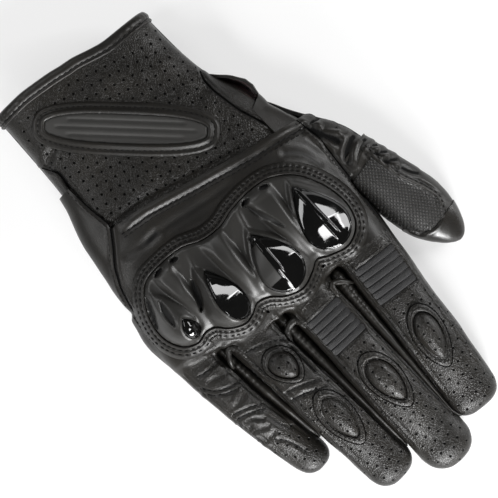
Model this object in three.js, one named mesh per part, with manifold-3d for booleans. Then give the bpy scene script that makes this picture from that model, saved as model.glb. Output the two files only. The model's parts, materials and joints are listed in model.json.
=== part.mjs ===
// A right-hand leather motorcycle glove with a short cuff, lying palm down and filled out as if worn.
// Millimetres. +X runs towards the little finger, +Y towards the fingertips and +Z up, out of the back of the hand.
// The leather is a hollow shell cut into the panels that are sewn together. Each finger has three links that meet at
// round, concentric ends, so that it can bend at the knuckle and at its two finger joints. The origin is under the
// centre of the glove, on the surface that it lies on.
import * as THREE from "three";
import { mergeVertices } from "three/addons/utils/BufferGeometryUtils.js";
import Module from "manifold-3d";

const wasm = await Module();
wasm.setup();

// Leather, cloth and clearances
const LEATHER = 1.4;
const LINING = 0.7;
const SEAM_GAP = 0.3;
const LAY_GAP = 0.3;
const JOINT_GAP = 0.4;
const MESH_TOLERANCE = 0.11;
const FAR = 300;

// The hand and cuff: edges of the body at stations along the hand, without fingers and thumb
const HAND_ROUNDNESS = 2.9;
const HAND_SIDES = 20;
const HAND_RING_SPACING = 17;
const HAND_STATIONS = [
  { at: -126, left: -36.8, right: 43.0, low: 2.4, high: 38.6 },
  { at: -103, left: -37.2, right: 43.2, low: 2.6, high: 37.6 },
  { at: -84, left: -38.0, right: 43.8, low: 4.6, high: 36.6 },
  { at: -68, left: -40.0, right: 45.6, low: 6.8, high: 36.0 },
  { at: -50, left: -46.6, right: 51.6, low: 5.6, high: 36.0 },
  { at: -26, left: -52.4, right: 55.4, low: 2.6, high: 36.2 },
  { at: -6, left: -53.4, right: 58.0, low: 2.2, high: 35.8 },
  { at: 12, left: -52.4, right: 59.6, low: 2.4, high: 34.6 },
  { at: 26, left: -50.6, right: 59.0, low: 3.6, high: 31.6 },
  { at: 44, left: -49.0, right: 57.0, low: 6.0, high: 27.0 },
];
// The ball of the thumb, which carries the thumb's root out from the side of the hand
const THENAR_STATIONS = [
  { at: -58, left: -34, right: -16, low: 12, high: 25 },
  { at: -44, left: -47.6, right: -14, low: 5.4, high: 27 },
  { at: -30, left: -55.4, right: -14, low: 2.8, high: 27.2 },
  { at: -13, left: -65.8, right: -20, low: 2.2, high: 27 },
  { at: 0, left: -69.6, right: -30, low: 2.4, high: 26.2 },
  { at: 14, left: -72, right: -44, low: 2.8, high: 25.4 },
];
// Edges seen from above, as points across the hand: the cuff's mouth, the back panel's hem and the webs
const CUFF_MOUTH = [[-60, -107], [-34, -107.6], [-14, -108.4], [6, -114], [26, -116.4], [60, -116.4]];
const BACK_HEM = [[-80, -24], [-54, -27.4], [-26, -33], [0, -39.4], [21, -45], [36, -47], [80, -49]];
const PALM_HEM_AT = -47;
const HEM_LAP = 5;
const WEB_LINE = [[-80, 31], [8, 31], [20, 29], [36, 22.6], [50, 17], [80, 13]];
const SIDE_SEAM = [[38.7, -72], [38, -60], [36.4, -48.6], [42, -41], [47.4, -34.4], [51.4, -26.6], [54, -18], [55.4, -8], [56, 2]];

// Fingers: where the knuckle joint lies, which way the finger points, and its sizes
const FINGER_ROUNDNESS = 2.4;
const FINGER_SIDES = 12;
const FINGER_RING_SPACING = 10;
const ROOT_REACH = 24;
const ROOT_TAPER = 34;
const DRUM_SIDES = 18;
const DRUM_RATIO = 1.32;
const FINGERS = [
  {
    name: "index", x: -38, y: 21.5, heading: 6.2, bow: 0, roll: 0, joints: [0, 34, 66], reach: 95.6,
    width: [27.4, 22.6], depth: [26.6, 17.2], height: [17.2, 9.2], arch: 4.6, tipRound: 10, tipPower: 2.5,
  },
  {
    name: "middle", x: -4.9, y: 22.4, heading: 0, bow: 0, roll: 0, joints: [0, 34.4, 69], reach: 104.4,
    width: [23.8, 22.8], depth: [26.8, 17], height: [17.6, 9.2], arch: 5.2, tipRound: 12, tipPower: 2.2,
  },
  {
    name: "ring", x: 25, y: 17.2, heading: -4, bow: 0, roll: 0, joints: [0, 38, 69], reach: 98,
    width: [22.8, 20.4], depth: [25.8, 16.4], height: [16.8, 8.8], arch: 5, tipRound: 10, tipPower: 2.4,
  },
  {
    name: "little", x: 50.4, y: 9.5, heading: -7.4, bow: 1.5, roll: 0, joints: [0, 33.5, 56], reach: 79.6,
    width: [19, 15.8], depth: [22.6, 14.6], height: [15, 7.8], arch: 3.6, tipRound: 9, tipPower: 2.3,
  },
];
const THUMB = {
  name: "thumb", x: -60.7, y: 6.4, heading: -11.5, bow: 0, roll: -14, joints: [0, 24], reach: 53.4,
  width: [22.6, 26.4], depth: [22.6, 18.6], height: [13.8, 10.4], arch: 0.8, tipRound: 27, tipPower: 1.65,
};
const LINK_NAMES = ["base", "middle", "tip"];

// Padding and stretch panels on the fingers, by where they start and end along the finger
const PAD_RISE = 2.6;
const PAD_SIDES = 16;
const FINGER_PADS = [
  { name: "index_pad", finger: 0, link: 1, from: 45, to: 73, width: 13.4, lean: 0.6 },
  { name: "middle_pad", finger: 1, link: 1, from: 45.2, to: 72.4, width: 14.4, lean: -0.2 },
  { name: "ring_pad", finger: 2, link: 1, from: 48.8, to: 76, width: 13.2, lean: 0.4 },
  { name: "ring_knuckle_pad", finger: 2, link: 0, from: 19.4, to: 37.8, width: 13, lean: -0.4 },
];
const STRETCH_PANELS = [
  { name: "index_stretch_panel", finger: 0, from: 16.4, to: 35.2 },
  { name: "middle_stretch_panel", finger: 1, from: 17, to: 35.6 },
];
const STRETCH_RIBS = 5;
const RIB_HEIGHT = 0.8;
const STRETCH_SHARE = 0.72;
const THUMB_GRIP = { from: 17, to: 40, width: 15 };
const GRIP_RISE = 0.9;

// Knuckle guard: its outline, and one teardrop dome and one gloss insert over each knuckle
const GUARD_OUTLINE = [
  [-43, 8], [-42, 15.4], [-38.6, 21.4], [-31, 24.6], [-23, 22.4], [-18, 20.4], [-12.6, 22.8], [-5.6, 25], [2, 22.6],
  [7.4, 18.8], [13, 18], [18, 20.2], [23, 20.8], [29, 17.6], [33, 13.4], [38, 12.2], [43, 13.2], [49, 10], [52.4, 2],
  [51.4, -7], [47.4, -15], [41, -20.6], [31, -21.6], [21, -20.8], [12, -17], [3, -16], [-6, -18], [-17, -18.6],
  [-27, -16.8], [-35.6, -10.4], [-40.6, -1.6],
];
const GUARD_POINTS = 48;
const GUARD_WALL = 2;
const GUARD_SEAT = 1.5;
const GUARD_GRID = 3.5;
const DOMES = [
  { x: -31, y: 9.5, half: 11.4, ahead: 15, behind: 21, rise: 8.2 },
  { x: -6.2, y: 10.3, half: 10.4, ahead: 14.4, behind: 20, rise: 8.2 },
  { x: 23.4, y: 7.6, half: 9.8, ahead: 12.8, behind: 20, rise: 7.4 },
  { x: 43.6, y: 1.4, half: 8, ahead: 10.8, behind: 18, rise: 6 },
];
const INSERTS = [
  { name: "index_knuckle_insert", x: -31, y: 10, half: 10.2, ahead: 13.6, behind: 17.4 },
  { name: "middle_knuckle_insert", x: -7.4, y: 11, half: 8.4, ahead: 12.8, behind: 15.8 },
  { name: "ring_knuckle_insert", x: 20.8, y: 9, half: 6.4, ahead: 10.6, behind: 16.6 },
  { name: "little_knuckle_insert", x: 40.9, y: 7.4, half: 3.8, ahead: 4.4, behind: 6.2 },
];
const FLUTES = [
  { x: -18.6, front: 18, back: -19, frontHalf: 3, backHalf: 7.6, rise: 4 },
  { x: 9, front: 16, back: -17, frontHalf: 3.6, backHalf: 6.4, rise: 4 },
  { x: 33.6, front: 11, back: -21, frontHalf: 2.6, backHalf: 5.6, rise: 3.4 },
];
const GUARD_BLEND = 4;
const INSERT_GAP = 0.25;
const INSERT_STAND = 0.3;
const SURROUND = { clear: 0.5, wide: 5.6, rise: 1.9, lip: 2.6, edge: 56.4 };
const FOAM_INSET = 2;

// Cuff trim, badge, strap and palm pieces
const BINDING = { deep: 4.6, over: 1 };
const BADGE = { x: 3.4, y: -74, length: 80, width: 23, turn: 135, rise: 1.8 };
const GUSSET = { from: -70, to: -47.6, bulge: 8.4, wall: 1.2, reach: 0.74, top: 25 };
const STRAP = { from: -66.5, to: -49.5, left: -28, right: 27, wall: 1.6 };
const PATCH = { hook: 0.8, loop: 0.8, left: -10, right: 24, inset: 2 };
const HEEL_PAD = { x: 26, y: -14, length: 40, width: 34, rise: 2.6 };
const GRIP_PATCH = { x: -24, y: 4, length: 36, width: 30, rise: 1.1 };

// Materials
function finish(color, roughness, metalness = 0) {
  return new THREE.MeshStandardMaterial({ color, roughness, metalness });
}
const leather = finish(0x1b1a19, 0.62);
const perforatedLeather = finish(0x1c1b1a, 0.7);
const suede = finish(0x151515, 0.85);
const matteShell = finish(0x2a2a29, 0.5);
const glossShell = finish(0x050505, 0.06);
const rubber = finish(0x1e1e1d, 0.6);
const stretchCloth = finish(0x242423, 0.78);
const foam = finish(0x303030, 0.95);
const liningCloth = finish(0x2a1213, 0.9);
const hookTape = finish(0x101010, 0.95);

// Solids and meshes
function solidOf(geometry) {
  const plain = geometry.index ? geometry.toNonIndexed() : geometry.clone();
  const bare = new THREE.BufferGeometry();
  bare.setAttribute("position", plain.getAttribute("position"));
  const merged = mergeVertices(bare, 1e-4);
  const mesh = new wasm.Mesh({
    numProp: 3,
    vertProperties: merged.attributes.position.array,
    triVerts: new Uint32Array(merged.index.array),
  });
  return new wasm.Manifold(mesh);
}

function geometryOf(solid) {
  const { numProp, numVert, vertProperties, triVerts } = solid.getMesh();
  const places = new Float32Array(numVert * 3);
  for (let i = 0; i < numVert; i += 1) {
    places.set(vertProperties.subarray(i * numProp, i * numProp + 3), i * 3);
  }
  const geometry = new THREE.BufferGeometry();
  geometry.setAttribute("position", new THREE.BufferAttribute(places, 3));
  geometry.setIndex(new THREE.BufferAttribute(triVerts, 1));
  geometry.computeVertexNormals();
  return geometry;
}

function joined(solids) {
  return solids.reduce((all, one) => all.add(one));
}

// A closed surface from rows of points that each go once round; the two end rows are capped
function skinned(rows) {
  const sides = rows[0].length;
  const corners = [];
  const triangle = (a, b, c) => corners.push(...a.toArray(), ...b.toArray(), ...c.toArray());
  for (let r = 0; r + 1 < rows.length; r += 1) {
    for (let k = 0; k < sides; k += 1) {
      const next = (k + 1) % sides;
      triangle(rows[r][k], rows[r][next], rows[r + 1][next]);
      triangle(rows[r][k], rows[r + 1][next], rows[r + 1][k]);
    }
  }
  const cap = (row, facesBack) => {
    const middle = row.reduce((sum, p) => sum.add(p), new THREE.Vector3()).divideScalar(sides);
    row.forEach((p, k) => {
      const q = row[(k + 1) % sides];
      if (facesBack) triangle(middle, q, p);
      else triangle(middle, p, q);
    });
  };
  cap(rows[0], true);
  cap(rows.at(-1), false);
  const geometry = new THREE.BufferGeometry();
  geometry.setAttribute("position", new THREE.Float32BufferAttribute(corners, 3));
  const solid = solidOf(geometry);
  return solid;
}

// An upright prism over an outline in the XY plane
function prism(outline, low = -FAR, high = FAR) {
  const shape = new THREE.Shape(outline.map(([x, y]) => new THREE.Vector2(x, y)));
  const geometry = new THREE.ExtrudeGeometry(shape, { depth: high - low, bevelEnabled: false });
  return solidOf(geometry.translate(0, 0, low));
}

// A prism that runs across the hand over an outline in the YZ plane
function crossPrism(outline) {
  const shape = new THREE.Shape(outline.map(([y, z]) => new THREE.Vector2(y, z)));
  const geometry = new THREE.ExtrudeGeometry(shape, { depth: 2 * FAR, bevelEnabled: false });
  geometry.translate(0, 0, -FAR);
  const turn = new THREE.Matrix4().makeBasis(
    new THREE.Vector3(0, 1, 0),
    new THREE.Vector3(0, 0, 1),
    new THREE.Vector3(1, 0, 0),
  );
  return solidOf(geometry.applyMatrix4(turn));
}

// A smooth value between stations, as a cubic with the slope of the neighbours at each station
function between(stations, key, at) {
  const last = stations.length - 1;
  let i = stations.findIndex((s) => s.at > at) - 1;
  if (at <= stations[0].at) return stations[0][key];
  if (at >= stations[last].at) return stations[last][key];
  i = Math.max(i, 0);
  const [a, b] = [stations[i], stations[i + 1]];
  const slope = (p, q) => (stations[q][key] - stations[p][key]) / (stations[q].at - stations[p].at);
  const before = slope(Math.max(i - 1, 0), i + 1);
  const after = slope(i, Math.min(i + 2, last));
  const span = b.at - a.at;
  const t = (at - a.at) / span;
  const t2 = t * t;
  const t3 = t2 * t;
  return (
    (2 * t3 - 3 * t2 + 1) * a[key] + (t3 - 2 * t2 + t) * span * before +
    (3 * t2 - 2 * t3) * b[key] + (t3 - t2) * span * after
  );
}

// The middle and half sizes of the section at y of the body that the stations give
function sectionAt(stations, y) {
  const [left, right, low, high] = ["left", "right", "low", "high"].map((key) => between(stations, key, y));
  return { x: (left + right) / 2, z: (low + high) / 2, half: (right - left) / 2, deep: (high - low) / 2 };
}

const handSection = (y) => sectionAt(HAND_STATIONS, y);

function roundedTo(value, power) {
  return Math.sign(value) * Math.abs(value) ** (2 / power);
}

function sectionRow(section, y, sides, roundness, offset) {
  const row = [];
  for (let k = 0; k < sides; k += 1) {
    const angle = (-2 * Math.PI * k) / sides;
    const grown = typeof offset === "function" ? offset(angle, y) : offset;
    row.push(new THREE.Vector3(
      section.x + (section.half + grown) * roundedTo(Math.cos(angle), roundness),
      y,
      section.z + (section.deep + grown) * roundedTo(Math.sin(angle), roundness),
    ));
  }
  return row;
}

// Places of the rings from one end to the other. They lie on one lattice, so that nested surfaces keep their distance
function ringPlaces(from, to, spacing) {
  const places = [from];
  for (let i = Math.ceil(from / spacing + 0.1); i * spacing < to - spacing * 0.1; i += 1) places.push(i * spacing);
  return [...places, to];
}

// The body that the stations give as one solid, grown by an offset
function stationBody(stations, sides, offset, from = stations[0].at, to = stations.at(-1).at) {
  return skinned(ringPlaces(from, to, HAND_RING_SPACING).map((y) => (
    sectionRow(sectionAt(stations, y), y, sides, HAND_ROUNDNESS, offset)
  )));
}

const handBody = (offset, from, to) => stationBody(HAND_STATIONS, HAND_SIDES, offset, from, to);
const thenarBody = (offset) => stationBody(THENAR_STATIONS, FINGER_SIDES, offset);

// Height of a section's surface at a distance x from its middle, on its upper (+1) or lower (-1) side
function surfaceOf(section, x, roundness, side = 1) {
  const across = Math.min(Math.abs((x - section.x) / section.half), 1);
  return section.z + side * section.deep * (1 - across ** roundness) ** (1 / roundness);
}

// A finger's section at a distance s along it, in the finger's own frame, or null past its tip
function fingerSection(finger, s, offset = 0) {
  const straight = finger.reach - finger.tipRound;
  const along = s / straight;
  const share = THREE.MathUtils.clamp(along, -1, 1);
  let size = 1;
  if (s < 0) size = Math.sqrt(Math.max(1 - (s / ROOT_TAPER) ** 2, 0));
  if (s > straight) {
    const past = Math.min((s - straight) / (finger.tipRound + offset), 1);
    size = (1 - past ** finger.tipPower) ** (1 / finger.tipPower);
  }
  const mix = ([a, b]) => a + (b - a) * Math.max(share, 0);
  return {
    x: finger.bow * Math.sin(Math.PI * THREE.MathUtils.clamp(s / finger.reach, 0, 1)),
    z: finger.height[0] + (finger.height[1] - finger.height[0]) * along + finger.arch * Math.sin(Math.PI * share),
    half: (mix(finger.width) / 2 + offset) * size,
    deep: (mix(finger.depth) / 2 + offset) * size,
  };
}

function fingerBody(finger, offset, from = -ROOT_REACH) {
  const straight = finger.reach - finger.tipRound;
  const rows = ringPlaces(from, straight, FINGER_RING_SPACING).map((s) => (
    sectionRow(fingerSection(finger, s, offset), s, FINGER_SIDES, FINGER_ROUNDNESS, 0)
  ));
  const tip = finger.tipRound + offset;
  for (const share of [0.45, 0.78, 0.95]) {
    const s = straight + tip * share;
    rows.push(sectionRow(fingerSection(finger, s, offset), s, FINGER_SIDES, FINGER_ROUNDNESS, 0));
  }
  return skinned(rows);
}

// Frames: a finger's own frame has its origin at the knuckle joint's place in plan, with +Y along the finger
function fingerMatrix(finger) {
  const turn = new THREE.Matrix4().makeRotationZ(THREE.MathUtils.degToRad(-finger.heading));
  return turn.setPosition(finger.x, finger.y, 0);
}

function placed(solid, matrix) {
  return solid.transform(matrix.toArray());
}

function hingeOf(finger, joint) {
  const s = finger.joints[joint];
  const section = fingerSection(finger, s);
  return { s, z: section.z, radius: section.deep * DRUM_RATIO };
}

// A drum across the finger on a joint's axis
function drum(finger, joint, grown) {
  const hinge = hingeOf(finger, joint);
  const length = finger.width[0] * 3;
  const geometry = new THREE.CylinderGeometry(hinge.radius + grown, hinge.radius + grown, length, DRUM_SIDES);
  geometry.rotateZ(Math.PI / 2);
  geometry.rotateY(THREE.MathUtils.degToRad(finger.roll));
  return solidOf(geometry.translate(0, hinge.s, hinge.z));
}

function slab(fromY, toY, halfWidth = FAR) {
  return prism([[-halfWidth, fromY], [halfWidth, fromY], [halfWidth, toY], [-halfWidth, toY]]);
}

// What lies beyond a joint's drum, and what lies up to it
function beyond(finger, joint, halfWidth = FAR) {
  return slab(finger.joints[joint], FAR, halfWidth).subtract(drum(finger, joint, JOINT_GAP / 2));
}

function upTo(finger, joint) {
  return slab(-FAR, finger.joints[joint]).add(drum(finger, joint, -JOINT_GAP / 2));
}

// Everything above or below a finger's or the hand's side seams
function seamSide(heightAt, from, to, upper) {
  const steps = 16;
  const line = [];
  for (let i = 0; i <= steps; i += 1) {
    const y = from + ((to - from) * i) / steps;
    line.push([y, heightAt(y) + (upper ? SEAM_GAP : -SEAM_GAP) / 2]);
  }
  const edge = upper ? FAR : -FAR;
  const outline = [...line, [to, edge], [from, edge]];
  return crossPrism(upper ? outline : outline.reverse());
}

// A pad or patch: rings of an outline, shrunk to its middle, over a ring at the height of its root. The surface that
// it lies on is cut away from it afterwards
const PATCH_RINGS = [1, 0.86, 0.5];
function patchOver(outline, middle, root, heightAt) {
  const ring = (share, height) => outline.map(([x, y]) => {
    const px = middle[0] + (x - middle[0]) * share;
    const py = middle[1] + (y - middle[1]) * share;
    return new THREE.Vector3(px, py, height(px, py, share));
  });
  const rows = PATCH_RINGS.map((share) => ring(share, heightAt));
  return skinned([ring(1, () => root), ...rows]);
}

// A plate over a rectangle of grid points, between two surfaces
function gridPlate(box, spacing, under, over) {
  const [left, right, back, front] = box;
  const across = Math.ceil((right - left) / spacing);
  const along = Math.ceil((front - back) / spacing);
  const point = (i, j, heightAt) => {
    const x = left + ((right - left) * i) / across;
    const y = back + ((front - back) * j) / along;
    return [x, y, heightAt(x, y)];
  };
  const corners = [];
  const quad = (a, b, c, d) => corners.push(...a, ...b, ...c, ...a, ...c, ...d);
  for (let i = 0; i < across; i += 1) {
    for (let j = 0; j < along; j += 1) {
      const at = (f) => [point(i, j, f), point(i + 1, j, f), point(i + 1, j + 1, f), point(i, j + 1, f)];
      quad(...at(over));
      const [a, b, c, d] = at(under);
      quad(a, d, c, b);
    }
  }
  for (let i = 0; i < across; i += 1) {
    quad(point(i, 0, under), point(i + 1, 0, under), point(i + 1, 0, over), point(i, 0, over));
    quad(point(i + 1, along, under), point(i, along, under), point(i, along, over), point(i + 1, along, over));
  }
  for (let j = 0; j < along; j += 1) {
    quad(point(0, j + 1, under), point(0, j, under), point(0, j, over), point(0, j + 1, over));
    quad(point(across, j, under), point(across, j + 1, under), point(across, j + 1, over), point(across, j, over));
  }
  const geometry = new THREE.BufferGeometry();
  geometry.setAttribute("position", new THREE.Float32BufferAttribute(corners, 3));
  return solidOf(geometry);
}

// Outlines
function smoothOutline(points, count) {
  const curve = new THREE.CatmullRomCurve3(points.map(([x, y]) => new THREE.Vector3(x, y, 0)), true, "centripetal");
  return curve.getSpacedPoints(count).slice(0, count).map((p) => [p.x, p.y]);
}

function offsetOutline(outline, distance) {
  const count = outline.length;
  return outline.map(([x, y], i) => {
    const [px, py] = outline[(i + count - 1) % count];
    const [qx, qy] = outline[(i + 1) % count];
    const length = Math.hypot(qx - px, qy - py);
    return [x + ((qy - py) / length) * distance, y - ((qx - px) / length) * distance];
  });
}

function oval(x, y, width, length, turn = 0, count = PAD_SIDES, power = 2.2) {
  const angle = THREE.MathUtils.degToRad(turn);
  return Array.from({ length: count }, (_, k) => {
    const a = (2 * Math.PI * k) / count;
    const across = (width / 2) * roundedTo(Math.cos(a), power);
    const along = (length / 2) * roundedTo(Math.sin(a), power);
    return [
      x + across * Math.cos(angle) - along * Math.sin(angle),
      y + across * Math.sin(angle) + along * Math.cos(angle),
    ];
  });
}

// Half width of a teardrop at y: round ahead of its widest place and drawn to a point behind it
function teardropHalf(drop, y, grown = 0) {
  const dy = y - drop.y;
  const share = dy >= 0 ? dy / (drop.ahead + grown) : -dy / (drop.behind + grown);
  if (share >= 1) return 0;
  return (drop.half + grown) * (dy >= 0 ? Math.sqrt(1 - share * share) : 1 - share ** 1.6);
}

function teardropOutline(drop, grown, count = 18) {
  const points = [];
  for (let k = 0; k < count; k += 1) {
    const angle = (2 * Math.PI * k) / count;
    const reach = Math.sin(angle) >= 0 ? drop.ahead : drop.behind;
    const y = drop.y + (reach + grown) * Math.sin(angle) * 0.995;
    points.push([drop.x + Math.sign(Math.cos(angle)) * teardropHalf(drop, y, grown), y]);
  }
  return points;
}

// Heights of the hand's back (+1) or palm (-1) at a place in plan, with the finger and thumb roots standing out of it
function handHeights(x, y, offset, side) {
  const section = handSection(y);
  section.half += offset;
  section.deep += offset;
  const heights = [surfaceOf(section, x, HAND_ROUNDNESS, side)];
  const thenar = sectionAt(THENAR_STATIONS, y);
  if (Math.abs(x - thenar.x) < thenar.half && Math.abs(y - THENAR_STATIONS[2].at) < 30) {
    heights.push(surfaceOf(thenar, x, HAND_ROUNDNESS, side) + side * offset);
  }
  for (const finger of [...FINGERS, THUMB]) {
    const inFinger = new THREE.Vector3(x, y, 0).applyMatrix4(fingerMatrix(finger).invert());
    if (inFinger.y < -ROOT_REACH) continue;
    const root = fingerSection(finger, inFinger.y, offset);
    if (Math.abs(inFinger.x - root.x) < root.half) heights.push(surfaceOf(root, inFinger.x, FINGER_ROUNDNESS, side));
  }
  return heights;
}

const backAt = (x, y) => Math.max(...handHeights(x, y, 0, 1));
const palmAt = (x, y, offset = 0) => Math.min(...handHeights(x, y, offset, -1));

function cuffTopAt(x, y) {
  const section = handSection(y);
  section.half += CUFF_OFFSET;
  section.deep += CUFF_OFFSET;
  return surfaceOf(section, x, HAND_ROUNDNESS);
}

// How high the guard stands above the back of the hand: a rim, a dome over each knuckle and a raised flute between
// each two domes, blended smoothly into each other
function guardRise(x, y) {
  let blend = 0;
  for (const dome of DOMES) {
    const half = teardropHalf(dome, y);
    const across = half > 0 ? Math.abs(x - dome.x) / half : 1;
    if (across >= 1) continue;
    const dy = y - dome.y;
    const share = dy >= 0 ? dy / dome.ahead : -dy / dome.behind;
    const crest = dy >= 0 ? Math.sqrt(1 - share ** 2.4) : 1 - share ** 1.5;
    blend += (dome.rise * crest * (1 - across ** 2) ** 0.8) ** GUARD_BLEND;
  }
  for (const flute of FLUTES) {
    const share = (y - flute.back) / (flute.front - flute.back);
    if (share <= 0 || share >= 1) continue;
    const across = Math.abs(x - flute.x) / (flute.backHalf + (flute.frontHalf - flute.backHalf) * share);
    if (across < 1) blend += (flute.rise * Math.sin(Math.PI * share) ** 0.7 * (1 - across ** 4)) ** GUARD_BLEND;
  }
  return GUARD_SEAT + GUARD_WALL + blend ** (1 / GUARD_BLEND);
}

const guardTop = (x, y) => backAt(x, y) + guardRise(x, y);
const guardUnder = (x, y) => backAt(x, y) + Math.max(guardRise(x, y) - GUARD_WALL, GUARD_SEAT);

// The cuff lies inside the hand's panels where they lap
const CUFF_OFFSET = -(LEATHER + LAY_GAP);

// The leather shell of the hand, thumb root and finger roots
function regionAhead(line, shift = 0) {
  const shifted = line.map(([x, y]) => [x, y + shift]);
  return prism([...shifted, [line.at(-1)[0], FAR], [line[0][0], FAR]]);
}

function regionBehind(line, shift = 0) {
  const shifted = line.map(([x, y]) => [x, y + shift]);
  return prism([[line[0][0], -FAR], [line.at(-1)[0], -FAR], ...shifted.reverse()]);
}

function wholeBody(offset) {
  const palm = handBody(offset).intersect(regionBehind(WEB_LINE, offset));
  const digits = [...FINGERS, THUMB].map((finger) => placed(fingerBody(finger, offset), fingerMatrix(finger)));
  const thenar = thenarBody(offset).intersect(slab(-FAR, THUMB.y));
  return joined([palm, thenar, ...digits]);
}

function rootShell() {
  const shell = wholeBody(0).subtract(wholeBody(-LEATHER));
  let root = shell;
  for (const finger of FINGERS) {
    const lane = Math.max(...finger.width) / 2 + finger.bow + JOINT_GAP;
    const clear = slab(finger.joints[0], FAR, lane).subtract(drum(finger, 0, -JOINT_GAP / 2));
    root = root.subtract(placed(clear, fingerMatrix(finger)));
  }
  const thumbClear = fingerBody(THUMB, 2 * JOINT_GAP)
    .intersect(slab(THUMB.joints[0], FAR))
    .subtract(drum(THUMB, 0, -JOINT_GAP / 2));
  return root.subtract(placed(thumbClear, fingerMatrix(THUMB)));
}

function largest(solid) {
  return solid.decompose().sort((a, b) => b.volume() - a.volume())[0];
}

// Assembly helpers: meshes go into the group whose frame their geometry is written in
const glove = new THREE.Group();
glove.name = "hand";
function addPiece(group, name, solid, material, origin = [0, 0, 0]) {
  const geometry = geometryOf(solid.simplify(MESH_TOLERANCE)).translate(-origin[0], -origin[1], -origin[2]);
  const mesh = new THREE.Mesh(geometry, material);
  mesh.name = name;
  group.add(mesh);
  return mesh;
}

// Hand panels
function addHandPanels() {
  const root = rootShell();
  const seamHeight = (y) => handSection(y).z;
  const [from, to] = [-FAR / 2, FAR / 2];
  const upper = root.intersect(seamSide(seamHeight, from, to, true));
  const lower = root.intersect(seamSide(seamHeight, from, to, false));
  const corner = [FAR, SIDE_SEAM.at(-1)[1]];
  const sideOutline = (gap) => [...SIDE_SEAM.map(([x, y]) => [x - gap, y + gap]),
    [corner[0], corner[1] + gap], [FAR, SIDE_SEAM[0][1] - gap]];
  const side = prism(sideOutline(0));
  const sideCut = prism(sideOutline(SEAM_GAP));
  const ahead = regionAhead(BACK_HEM);
  const palmAhead = slab(PALM_HEM_AT, FAR);
  const back = largest(upper.intersect(ahead).subtract(sideCut));
  const palm = largest(lower.intersect(palmAhead).subtract(sideCut));
  const outer = largest(root.intersect(side));
  addPiece(glove, "back_panel", back, leather);
  addPiece(glove, "palm_panel", palm, suede);
  addPiece(glove, "outer_side_panel", outer, leather);
}

// Cuff: two panels that pass under the hand's hems, a folded binding round the mouth and a cloth lining
function addCuff() {
  const tube = handBody(CUFF_OFFSET).subtract(handBody(CUFF_OFFSET - LEATHER, -FAR / 2, FAR / 2));
  const seamHeight = (y) => handSection(y).z;
  const mouth = regionAhead(CUFF_MOUTH);
  const upper = tube.intersect(seamSide(seamHeight, -FAR / 2, FAR / 2, true));
  const lower = tube.intersect(seamSide(seamHeight, -FAR / 2, FAR / 2, false));
  const back = upper.intersect(mouth).intersect(regionBehind(BACK_HEM, HEM_LAP));
  const palm = lower.intersect(mouth).intersect(slab(-FAR, PALM_HEM_AT + HEM_LAP));
  addPiece(glove, "cuff_back_panel", largest(back), perforatedLeather);
  addPiece(glove, "cuff_palm_panel", largest(palm), leather);

  const skin = LAY_GAP + BINDING.over;
  const folded = handBody(CUFF_OFFSET + skin)
    .subtract(handBody(CUFF_OFFSET - LEATHER - skin, -FAR / 2, FAR / 2))
    .intersect(regionAhead(CUFF_MOUTH, -skin))
    .intersect(regionBehind(CUFF_MOUTH, BINDING.deep));
  const channel = handBody(CUFF_OFFSET + LAY_GAP)
    .subtract(handBody(CUFF_OFFSET - LEATHER - LAY_GAP, -FAR / 2, FAR / 2))
    .intersect(regionAhead(CUFF_MOUTH, -LAY_GAP));
  addPiece(glove, "cuff_binding", largest(folded.subtract(channel)), leather);

  const outside = CUFF_OFFSET - LEATHER - LAY_GAP;
  const lining = handBody(outside)
    .subtract(handBody(outside - LINING, -FAR / 2, FAR / 2))
    .intersect(regionAhead(CUFF_MOUTH, BINDING.deep + LAY_GAP))
    .intersect(slab(-FAR, PALM_HEM_AT + HEM_LAP));
  addPiece(glove, "cuff_lining", largest(lining), liningCloth);
}

function addBadge() {
  const outline = oval(BADGE.x, BADGE.y, BADGE.width, BADGE.length, BADGE.turn - 90, 20, 3);
  const over = (x, y, share) => cuffTopAt(x, y) + LAY_GAP + BADGE.rise * (share > 0.99 ? 0.7 : 1);
  const patch = patchOver(outline, [BADGE.x, BADGE.y], handSection(BADGE.y).z, over)
    .subtract(handBody(CUFF_OFFSET + LAY_GAP));
  addPiece(glove, "wrist_badge", largest(patch), rubber);
}

// A lined lip at the thumb side of the wrist, open towards the back, that lets the cuff widen for the hand
function addGusset() {
  const bulge = (angle, y) => {
    const side = Math.max(-Math.cos(angle), 0) ** 3;
    const along = (y - GUSSET.from) / (GUSSET.to - GUSSET.from);
    return CUFF_OFFSET + LAY_GAP + GUSSET.bulge * side * Math.min(along * 1.2, 1);
  };
  const band = handBody((angle, y) => bulge(angle, y) + GUSSET.wall, GUSSET.from, GUSSET.to)
    .subtract(handBody(bulge, GUSSET.from - 1, GUSSET.to + 1));
  const middle = handSection((GUSSET.from + GUSSET.to) / 2);
  const reach = middle.half * GUSSET.reach;
  const edge = middle.x - reach;
  const leftOnly = prism([[-FAR, GUSSET.from], [edge, GUSSET.from], [edge, GUSSET.to], [-FAR, GUSSET.to]], -FAR,
    GUSSET.top);
  addPiece(glove, "wrist_gusset", largest(band.intersect(leftOnly)), leather);
}

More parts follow.
